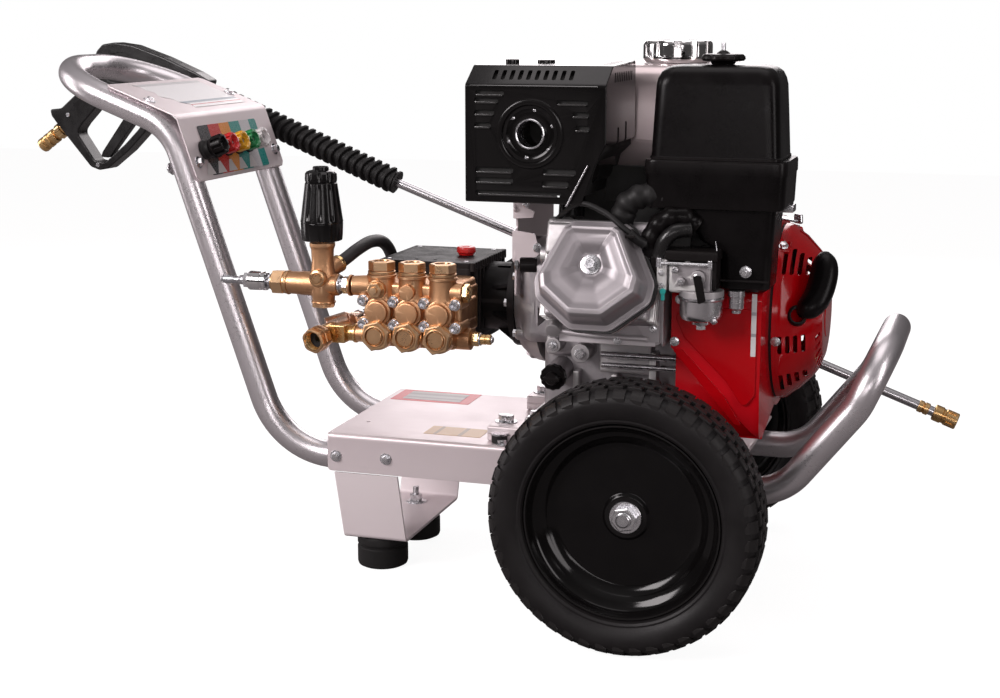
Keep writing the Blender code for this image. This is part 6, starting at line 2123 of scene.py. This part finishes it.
    # the inlet elbow: a square block, its barrel to the manifold, the pink branch to the hose and its nose
    block = box((-0.4185, -0.181, 0.3335), (-0.396, -0.154, 0.3565), 0.0018, 2)
    elbow = [
        bar_x(-0.165, 0.345, -0.399, -0.384, 0.0105, sides=44, rounding=0.001),
        bar_x(-0.165, 0.345, -0.388, -0.384, 0.0125, sides=44, rounding=0.001),
        box((-0.433, -0.18, 0.3345), (-0.416, -0.158, 0.3555), 0.005, 3),
        cylinder(INLET_BASE + Y * 0.006, INLET_BASE + INLET_OUT * 0.014, 0.0135, 0.0125, sides=48),
        cylinder(INLET_BASE, INLET_BASE + INLET_OUT * 0.024, 0.0088, sides=44),
    ]
    fixed("inlet_elbow", combine(block, add=elbow, rounding=0.0007), "brass", BRASS)
    branch = [
        cylinder((-0.429, -0.164, 0.353), (-0.406, -0.148, 0.36), 0.0098, sides=44, rounding=0.001),
        cylinder((-0.408, -0.15, 0.359), (-0.4, -0.133, 0.357), 0.0096, sides=44, rounding=0.001),
        bar_y(-0.4, 0.356, -0.145, -0.1168, 0.01, sides=44, rounding=0.001),
    ]
    fixed("inlet_branch", combine(branch.pop(), add=branch, rounding=0.0006), "brass", PINK_BRASS)
    clamp = bar_y(-0.4, 0.356, -0.124, -0.117, 0.0112, sides=40, rounding=0.0008)
    fixed("bypass_clamp_low", clamp, "zinc_steel", ZINC)


def make_inlet_swivel():
    base = INLET_BASE + INLET_OUT * 0.018
    ring = [
        (0.0126, 0.024), (0.015, 0.024), (0.016, 0.0232), (0.0165, 0.022), (0.0165, 0.0165), (0.0158, 0.0155),
        (0.0158, 0.0135),
        (0.0165, 0.0125), (0.0165, 0.005), (0.0155, 0.002), (0.0125, 0.0004), (0.0093, 0.0), (0.0093, 0.008),
        (0.0118, 0.008),
        (0.0118, 0.0225),
    ]

    def six_sided(a, r, h):
        if r < 0.015:
            return 1.0
        flat = math.cos(math.pi / 6) / math.cos((a + 0.3) % (math.pi / 3) - math.pi / 6)
        return min(1.0, flat * 1.075)

    nut = turned(ring, base, INLET_OUT, 120, wobble=six_sided)
    piece("inlet_swivel_nut", nut, "inlet_swivel", "brass", BRONZE, "inlet_swivel")
    threads = []
    for k in range(5):
        h = 0.0105 + k * 0.0024
        threads += [(0.0117, h), (0.0108, h + 0.0012)]
    thread = turned([(0.01175, 0.0095), *threads, (0.01175, 0.0225)], base, INLET_OUT, 56)
    washer = turned([(0.005, 0.0082), (0.0116, 0.0082), (0.0116, 0.0125), (0.005, 0.0125)], base, INLET_OUT, 48)
    piece("inlet_swivel_thread", thread, "inlet_swivel", "brass", BRASS)
    piece("inlet_swivel_washer", washer, "inlet_swivel", "rubber", RUBBER)


def make_unloader():
    """The cross of cast barrels with machined ends, the steel nipples and the fluted knob above."""
    x, y, z = UNLOADER
    knob_z = 0.465
    body = turned([
        (0, -0.028), (0.014, -0.028), (0.0146, -0.027), (0.0146, -0.022), (0.015, -0.016), (0.0165, -0.012),
        (0.0165, 0.014), (0.015, 0.02),
        (0.0142, 0.03), (0.0146, 0.045), (0.016, 0.049), (0.0165, 0.05), (0.0165, 0.054), (0, 0.054),
    ], UNLOADER, Z, 56)
    left_barrel = turned([
        (0, 0.0), (0.015, 0.0), (0.0155, 0.001), (0.0155, 0.028), (0.015, 0.032), (0.0146, 0.048), (0.0152, 0.05),
        (0, 0.05),
    ], UNLOADER, -X, 56)
    add = [
        left_barrel,
        cylinder(UNLOADER, UNLOADER + X * 0.0225, 0.0158, 0.014, sides=56, rounding=0.0012),
        bar_y(x, 0.418, y, y - 0.0185, 0.0118, 0.011, sides=48, rounding=0.0012),
        cylinder((x, y, 0.42), (-0.4195, -0.1435, 0.4305), 0.011, sides=44, rounding=0.0008),
        box((x - 0.012, y - 0.012, 0.42), (x + 0.012, y + 0.012, 0.438), 0.005),
        bar_z(x, y, knob_z - 0.01, knob_z + 0.035, 0.006, sides=32),
    ]
    shape = combine(body, add=add, rounding=0.0007)
    fixed("unloader_cast", shape, "brass", CAST_BRASS, "unloader_body")
    ends = [
        hexagon((x - 0.053, y, z), (x - 0.069, y, z), 0.029, 0.0014, 0.1),
        bar_x(y, z, x - 0.047, x - 0.0495, 0.016, sides=56, rounding=0.0008),
        bar_x(y, z, x - 0.05, x - 0.053, 0.015, sides=48, rounding=0.0006),
        bar_x(y, z, x - 0.069, x - 0.0712, 0.0125, sides=48, rounding=0.0006),
        hexagon((x, y, 0.384), (x, y, 0.3785), 0.028, 0.0012, 0.2),
        bar_z(x, y, 0.386, 0.3838, 0.016, sides=48, rounding=0.0006),
    ]
    front = Vector((x, y - 0.018, 0.418))
    ends.append(
        turned(
            [
                (0, 0.0), (0.0112, 0.0), (0.0112, 0.0012), (0.0104, 0.0026), (0.008, 0.0034), (0.0074, 0.003),
                (0.006, 0.003), (0.0056, 0.0036), (0, 0.0036)
            ],
            front, -Y, 56
        )
    )
    fixed("unloader_ends", join(*ends), "brass", BRONZE)
    steel = [
        cylinder((x + 0.0215, y + 0.001, z), (-0.392, -0.168, z), 0.0085, sides=40),
        hexagon((x + 0.0275, y + 0.0012, z), (-0.394, -0.1681, z), 0.02, 0.0012, 0.1),
        bar_x(y + 0.001, z, x + 0.0225, x + 0.0245, 0.0125, sides=44, rounding=0.0006),
    ]
    plug = [
        (0, 0.0), (0.01, 0.0), (0.0104, 0.0006), (0.0092, 0.0014), (0.0104, 0.0022), (0.0092, 0.003),
        (0.0098, 0.0044), (0.0062, 0.0048),
        (0.0062, 0.033), (0.0082, 0.0332), (0.0086, 0.0338), (0.0086, 0.04), (0.008, 0.0408), (0.0064, 0.0414),
        (0.006, 0.047),
        (0.0046, 0.049), (0.0044, 0.055), (0.0056, 0.0575), (0.0058, 0.066), (0.005, 0.07), (0.0046, 0.073),
        (0.004, 0.0738),
        (0, 0.0738),
    ]
    steel += [
        turned(plug, (x - 0.0712, y, z), -X, 48),
        hexagon((x - 0.1055, y, z), (x - 0.111, y, z), 0.019, 0.001, 0.2),
    ]
    zinc("unloader_nipples", *steel)
    place = Vector((x, y, knob_z))

    def fluted(a, r, h):
        if 0.0268 < h < 0.0735 and r > 0.012:
            fade = min(1.0, (h - 0.0268) / 0.004, (0.0735 - h) / 0.004)
            return 1 - 0.075 * fade * max(0.0, math.cos(a * 10)) ** 3
        if 0.0 < h < 0.0225 and r > 0.02 or 0.0765 < h < 0.087 and r > 0.017:
            return 1 - 0.04 * max(0.0, math.cos(a * 10)) ** 3
        return 1.0

    profile = [
        (0, 0.095), (0.0095, 0.095), (0.0102, 0.0943), (0.0104, 0.0905), (0.015, 0.0898), (0.0184, 0.0885),
        (0.0202, 0.0862)
    ]
    profile += [(0.0206, 0.08), (0.0204, 0.0764), (0.0198, 0.0758), (0.0198, 0.0746), (0.0207, 0.0738)]
    profile += [(0.0207 + 0.0062 * (i / 10), 0.0738 - 0.046 * (i / 10)) for i in range(1, 11)]
    profile += [
        (0.0272, 0.0262), (0.0274, 0.0245), (0.0268, 0.0236), (0.0272, 0.0226), (0.0266, 0.008), (0.0258, 0.0012),
        (0.0248, 0.0004)
    ]
    profile += [(0.0063, 0.0004), (0.0063, 0.038), (0, 0.038)]
    knob = turned(profile, place, Z, 144, wobble=fluted)
    piece("unloader_knob_fluted", knob, "unloader_knob", "black_plastic", KNOB_BLACK, "unloader_knob")
    sleeve = [
        (0.0065, 0.002), (0.0072, 0.0006), (0.0112, 0.0006), (0.0122, 0.0018), (0.0122, 0.006), (0.0114, 0.007),
        (0.0114, 0.0084), (0.0122, 0.0094),
        (0.0125, 0.02), (0.0125, 0.025), (0.0118, 0.0262), (0.008, 0.0268), (0.0065, 0.0268),
    ]
    coupler = turned(sleeve, (-0.507, y, z), -X, 80)
    piece("outlet_coupler_sleeve", coupler, "outlet_sleeve", "chrome", CHROME, "outlet_coupler")


HOSE_ROUTE = [
    (-0.4192, -0.1428, 0.4308), (-0.4142, -0.129, 0.4363), (-0.409, -0.1, 0.445), (-0.406, -0.06, 0.45),
    (-0.404, -0.022, 0.444),
    (-0.402, 0.002, 0.424), (-0.401, 0.006, 0.398), (-0.401, -0.01, 0.374), (-0.4, -0.045, 0.361),
    (-0.4, -0.08, 0.357),
    (-0.4, -0.1162, 0.356),
]


def make_bypass_hose():
    fixed("bypass_hose_smooth", tube(smooth_path(HOSE_ROUTE, 8), 0.0085, 32), "hose", HOSE, "bypass_hose")
    first, second = Vector(HOSE_ROUTE[0]), Vector(HOSE_ROUTE[1])
    along = (second - first).normalized()
    ferrule = turned(
        [(0.0086, 0.0), (0.0112, 0.0), (0.0116, 0.001), (0.0116, 0.0046), (0.0106, 0.0056), (0.0086, 0.0058)],
        first - along * 0.002, along, 48
    )
    fixed("bypass_ferrule", ferrule, "brass", BRASS)


# ---------------------------------------------------------------- gun and lance
def make_gun():
    outline = [
        (-0.757, 0.652), (-0.779, 0.664), (-0.832, 0.686), (-0.885, 0.704), (-0.916, 0.708), (-0.937, 0.705),
        (-0.949, 0.694), (-0.957, 0.655), (-0.99, 0.627), (-1.016, 0.606), (-1.036, 0.604), (-1.034, 0.594),
        (-1.023, 0.58), (-0.968, 0.516), (-0.953, 0.511), (-0.937, 0.514), (-0.9, 0.542), (-0.871, 0.57),
        (-0.84, 0.612), (-0.808, 0.6245), (-0.771, 0.618),
    ]
    radii = [
        0.004, 0.02, 0.05, 0.03, 0.012, 0.01, 0.016, 0.02, 0.05, 0.012, 0.004, 0.006, 0.02, 0.012, 0.008, 0.012,
        0.05, 0.03, 0.03, 0.03, 0.004
    ]
    finger_gap = [
        (-0.99, 0.569), (-0.96, 0.5255), (-0.942, 0.5235), (-0.905, 0.553), (-0.88, 0.577), (-0.86, 0.606),
        (-0.868, 0.6215), (-0.905, 0.6228), (-0.935, 0.618), (-0.956, 0.606), (-0.98, 0.582),
    ]
    gap_radii = [0.012, 0.008, 0.008, 0.05, 0.04, 0.01, 0.008, 0.03, 0.02, 0.02, 0.012]
    ring = rounded_outline(outline, radii, 7)
    hole = rounded_outline(finger_gap, gap_radii, 6)
    body = plate(ring, GUN_HALF * 2, (0, GUN_Y, 0), X, Z, holes=[hole], rounding=0.0062, segments=4)
    bore = cylinder(LANCE_TAIL + LANCE_BACK * 0.03, LANCE_BEND, LANCE_R + 0.0003, sides=32)
    side_dents = []
    for sign in (-1, 1):
        inset = rounded_outline(
            [(-0.78, 0.651), (-0.9, 0.694), (-0.93, 0.69), (-0.936, 0.65), (-0.86, 0.632), (-0.79, 0.636)], 0.01, 5
        )
        dent = plate(inset, 0.003, (0, GUN_Y + sign * GUN_HALF, 0), X, Z, rounding=0.0006)
        side_dents.append(dent)
    body = combine(body, cut=[bore, *side_dents], rounding=0.0006, segments=2, angle=50)
    fixed("gun_shell", body, "black_plastic", GUN_BLACK, "gun_body")
    screws = []
    for px, pz in ((-0.8, 0.646), (-0.87, 0.668), (-0.925, 0.664), (-1.004, 0.596), (-0.955, 0.519)):
        for sign in (-1, 1):
            depth = GUN_HALF - (0.0016 if px > -0.94 else 0.0004)
            screws.append(socket_screw((px, GUN_Y + sign * depth, pz), Y * sign, 0.0034, 0.0012))
    pin = bar_y(-0.884, 0.61 + 0.02, GUN_Y - GUN_HALF + 0.001, GUN_Y + GUN_HALF - 0.001, 0.004, sides=28)
    zinc("gun_screws", *screws, pin)
    mouth = Vector((-1.018, GUN_Y, 0.576))
    away = Vector((-0.052, 0, -0.037)).normalized()
    neck = [
        (0, -0.01), (0.0098, -0.01), (0.0098, 0.006), (0.0118, 0.0066), (0.0118, 0.015), (0.01, 0.0156),
        (0.0085, 0.0166), (0.0085, 0.02),
        (0.0104, 0.021), (0.0115, 0.0222), (0.0115, 0.029), (0.0104, 0.03), (0.0104, 0.033), (0.0115, 0.034),
        (0.0115, 0.04), (0.0104, 0.0412),
        (0.0104, 0.044), (0.0115, 0.0452), (0.0115, 0.0515), (0.0106, 0.0536), (0.007, 0.0538), (0.0062, 0.05),
        (0, 0.05),
    ]
    fitting = turned(neck, mouth, away, 72)
    flats = hexagon(mouth + away * 0.0056, mouth + away * 0.0162, 0.0215, 0.0012, 0.3)
    fixed("gun_inlet_coupler", join(fitting, flats), "brass", BRASS)
    place = Vector((-0.884, GUN_Y, 0.61))
    blade = [(-0.009, 0.004), (0.005, 0.008), (0.009, -0.004), (-0.055, -0.08), (-0.07, -0.079), (-0.066, -0.07)]
    trigger = plate(
        rounded_outline(blade, [0.004, 0.004, 0.005, 0.006, 0.005, 0.006], 6), 0.0136, place, X, Z, rounding=0.0028,
        segments=3
    )
    piece("gun_trigger_moulded", trigger, "trigger", "black_plastic", GUN_BLACK, "gun_trigger")


def make_lance():
    start = LANCE_TAIL + LANCE_BACK * 0.012
    path = rounded_path([start, LANCE_BEND, LANCE_TIP - LANCE_SLOPE * SOCKET], [0.15], math.radians(1.0))
    collar = turned([
        (LANCE_R - 0.001, 0.0), (0.008, 0.0), (0.0085, 0.0006), (0.0085, 0.006), (0.0074, 0.0068), (0.0074, 0.008),
        (0.0085, 0.0088), (0.0085, 0.0144), (0.008, 0.015), (LANCE_R - 0.001, 0.015),
    ], LANCE_TIP - LANCE_SLOPE * 0.056, LANCE_SLOPE, 48)
    fixed("lance_steel_tube", tube(path, LANCE_R, 32), "zinc_steel", STEEL, "lance_tube")
    fixed("lance_collar", collar, "brass", BRASS)
    grip_start = LANCE_TAIL - LANCE_BACK * 0.006
    length = (LANCE_BEND - grip_start).length - 0.004
    pitch, deep, base = 0.0128, 0.0044, 0.0194

    def ribbed(a, r, h):
        if r < 0.012 or h < 0.0035 or h > length - 0.0035:
            return 1.0 if r < 0.012 else 0.9
        wave = math.sin(2 * math.pi * h / pitch + math.pi * 0.5 * (1 + math.cos(2 * a)))
        level = max(-1.0, min(1.0, wave * 2.6))
        return (base - deep * (0.5 - 0.5 * level)) / base

    count = int(length / 0.0012)
    profile = [(LANCE_R + 0.0003, 0.0)]
    profile += [(base, 0.0002 + (length - 0.0004) * i / count) for i in range(count + 1)]
    profile += [(LANCE_R + 0.0003, length)]
    grip = turned(profile, grip_start, -LANCE_BACK, 64, wobble=ribbed)
    fixed("lance_grip_ribbed", grip, "rubber", RUBBER, "lance_grip")
    sleeve = [
        (LANCE_R + 0.0003, 0.0), (0.01, 0.0), (0.0112, 0.001), (0.0115, 0.003), (0.0115, 0.012), (0.0102, 0.0132),
        (0.0102, 0.016), (0.0115, 0.0172),
        (0.0115, 0.033), (0.0106, 0.034), (0.0078, 0.034), (LANCE_R + 0.0003, 0.0325),
    ]
    shape = turned(sleeve, LANCE_TIP - LANCE_SLOPE * 0.034, LANCE_SLOPE, 72)
    groove = box((-0.0014, 0.0098, 0.019), (0.0014, 0.013, 0.03), 0.0005, 1)
    grooves = copies(
        groove,
        [
            placed(LANCE_SLOPE, LANCE_TIP - LANCE_SLOPE * 0.034) @ Matrix.Rotation(2 * math.pi * k / 10, 4, "Z")
            for k in range(10)
        ]
    )
    piece("nozzle_coupler_sleeve", combine(shape, cut=[grooves]), "nozzle_sleeve", "brass", BRASS, "lance_coupler")


# ---------------------------------------------------------------- floor, light and camera
FLOOR_HALF = 6.0
# how bright the room is by height: (share of the way from straight down to straight up, level)
ROOM_LEVELS = ((0.0, 0.1), (0.5, 0.06), (0.6, 0.08), (0.75, 0.14), (0.88, 0.28), (1.0, 0.4))
LIGHT_TINT = (1.0, 0.94, 0.95)
LIT_POINT, LIT_LOW_POINT = (0, 0, 0.35), (0, 0, 0.3)
# name, place, target, width, height, watts
LIGHTS = (
    ("key", (-1.5, -2.3, 1.7), LIT_POINT, 1.2, 1.2, 72),
    ("top", (0.3, 0.0, 2.5), LIT_POINT, 1.6, 1.6, 12),
    ("right", (2.4, -1.0, 1.1), LIT_POINT, 0.6, 1.6, 15),
    ("left", (-2.4, -0.2, 0.8), LIT_POINT, 0.6, 1.6, 14),
    ("back", (-0.3, 2.4, 1.5), LIT_POINT, 1.6, 1.6, 26),
    ("front", (0.9, -3.0, 0.9), LIT_LOW_POINT, 2.0, 0.35, 12),
)
SENSOR_WIDTH, LENS = 36, 58.573
SHIFT_X, SHIFT_Y = -0.00607, -0.00937
EYE = (0.77285, -2.08162, 0.74943)
EYE_DOWN, EYE_TURN = 11.287, 17.467


def make_floor():
    bm = bmesh.new()
    bmesh.ops.create_grid(bm, x_segments=2, y_segments=2, size=FLOOR_HALF)
    floor = solid(bm)
    floor.name = "floor"
    for face in floor.data.polygons:
        if face.normal.z < 0:
            floor.data.flip_normals()
            break
    material, tree, shader = nodes_of("pale_floor")
    shader.inputs["Base Color"].default_value = (0.2, 0.19, 0.19, 1)
    shader.inputs["Roughness"].default_value = 0.9
    shader.inputs["Specular IOR Level"].default_value = 0.0
    shader.inputs["Emission Color"].default_value = (1, 1, 1, 1)
    seen = add_node(tree, "ShaderNodeLightPath").outputs["Is Camera Ray"]
    tree.links.new(ranged(tree, seen, 0.0, 0.93, 0.0, 1.0), shader.inputs["Emission Strength"])
    floor.data.materials.append(material)


def area_light(name, place, target, width, height, power):
    light = bpy.data.lights.new(name, "AREA")
    light.shape = "RECTANGLE"
    light.size = width
    light.size_y = height
    light.energy = power
    light.color = LIGHT_TINT
    lamp = bpy.data.objects.new(name, light)
    bpy.context.scene.collection.objects.link(lamp)
    lamp.location = place
    lamp.rotation_euler = (Vector(target) - Vector(place)).to_track_quat("-Z", "Y").to_euler()


def make_light():
    """A soft room that is bright above and dim at the sides; the camera itself sees plain white behind."""
    world = bpy.data.worlds.new("studio")
    bpy.context.scene.world = world
    world.use_nodes = True
    tree = world.node_tree
    background = tree.nodes["Background"]
    direction = add_node(tree, "ShaderNodeTexCoord").outputs["Generated"]
    height = add_node(tree, "ShaderNodeSeparateXYZ", {"Vector": direction}).outputs["Z"]
    ramp = add_node(tree, "ShaderNodeValToRGB", {"Fac": ranged(tree, height, 0.0, 1.0, -1.0, 1.0)})
    while len(ramp.color_ramp.elements) < len(ROOM_LEVELS):
        ramp.color_ramp.elements.new(0.5)
    for element, (place, level) in zip(ramp.color_ramp.elements, ROOM_LEVELS):
        element.position = place
        element.color = (level, level * 0.95, level * 0.96, 1)
    seen = add_node(tree, "ShaderNodeLightPath").outputs["Is Camera Ray"]
    colour = blended(tree, seen, ramp.outputs["Color"], (1.0, 1.0, 1.0))
    tree.links.new(colour, background.inputs["Color"])
    background.inputs["Strength"].default_value = 1.0
    for lamp in LIGHTS:
        area_light(*lamp)


def make_camera():
    camera = bpy.data.cameras.new("camera")
    camera.sensor_width = SENSOR_WIDTH
    camera.lens = LENS
    camera.shift_x = SHIFT_X
    camera.shift_y = SHIFT_Y
    camera.clip_end = 60
    eye = bpy.data.objects.new("camera", camera)
    bpy.context.scene.collection.objects.link(eye)
    eye.location = EYE
    eye.rotation_euler = (math.radians(90 - EYE_DOWN), 0, math.radians(EYE_TURN))
    bpy.context.scene.camera = eye


for make in (
    make_camera, make_running_gear, make_base_plate, make_foot_bracket, make_handle_frame, make_front_loop,
    make_control_panel, make_nozzles, make_engine_rails, make_crankcase, make_cylinder_head, make_crankshaft,
    make_blower, make_exhaust, make_fuel_tank, make_air_cleaner, make_carburettor, make_engine_dressing,
    make_controls, make_pump_case, make_pump_drive, make_manifold, make_inlet_swivel, make_unloader,
    make_bypass_hose, make_gun, make_lance, make_floor, make_light,
):
    make()
scene = bpy.context.scene
scene.view_settings.view_transform = "Standard"
scene.view_settings.look = "None"
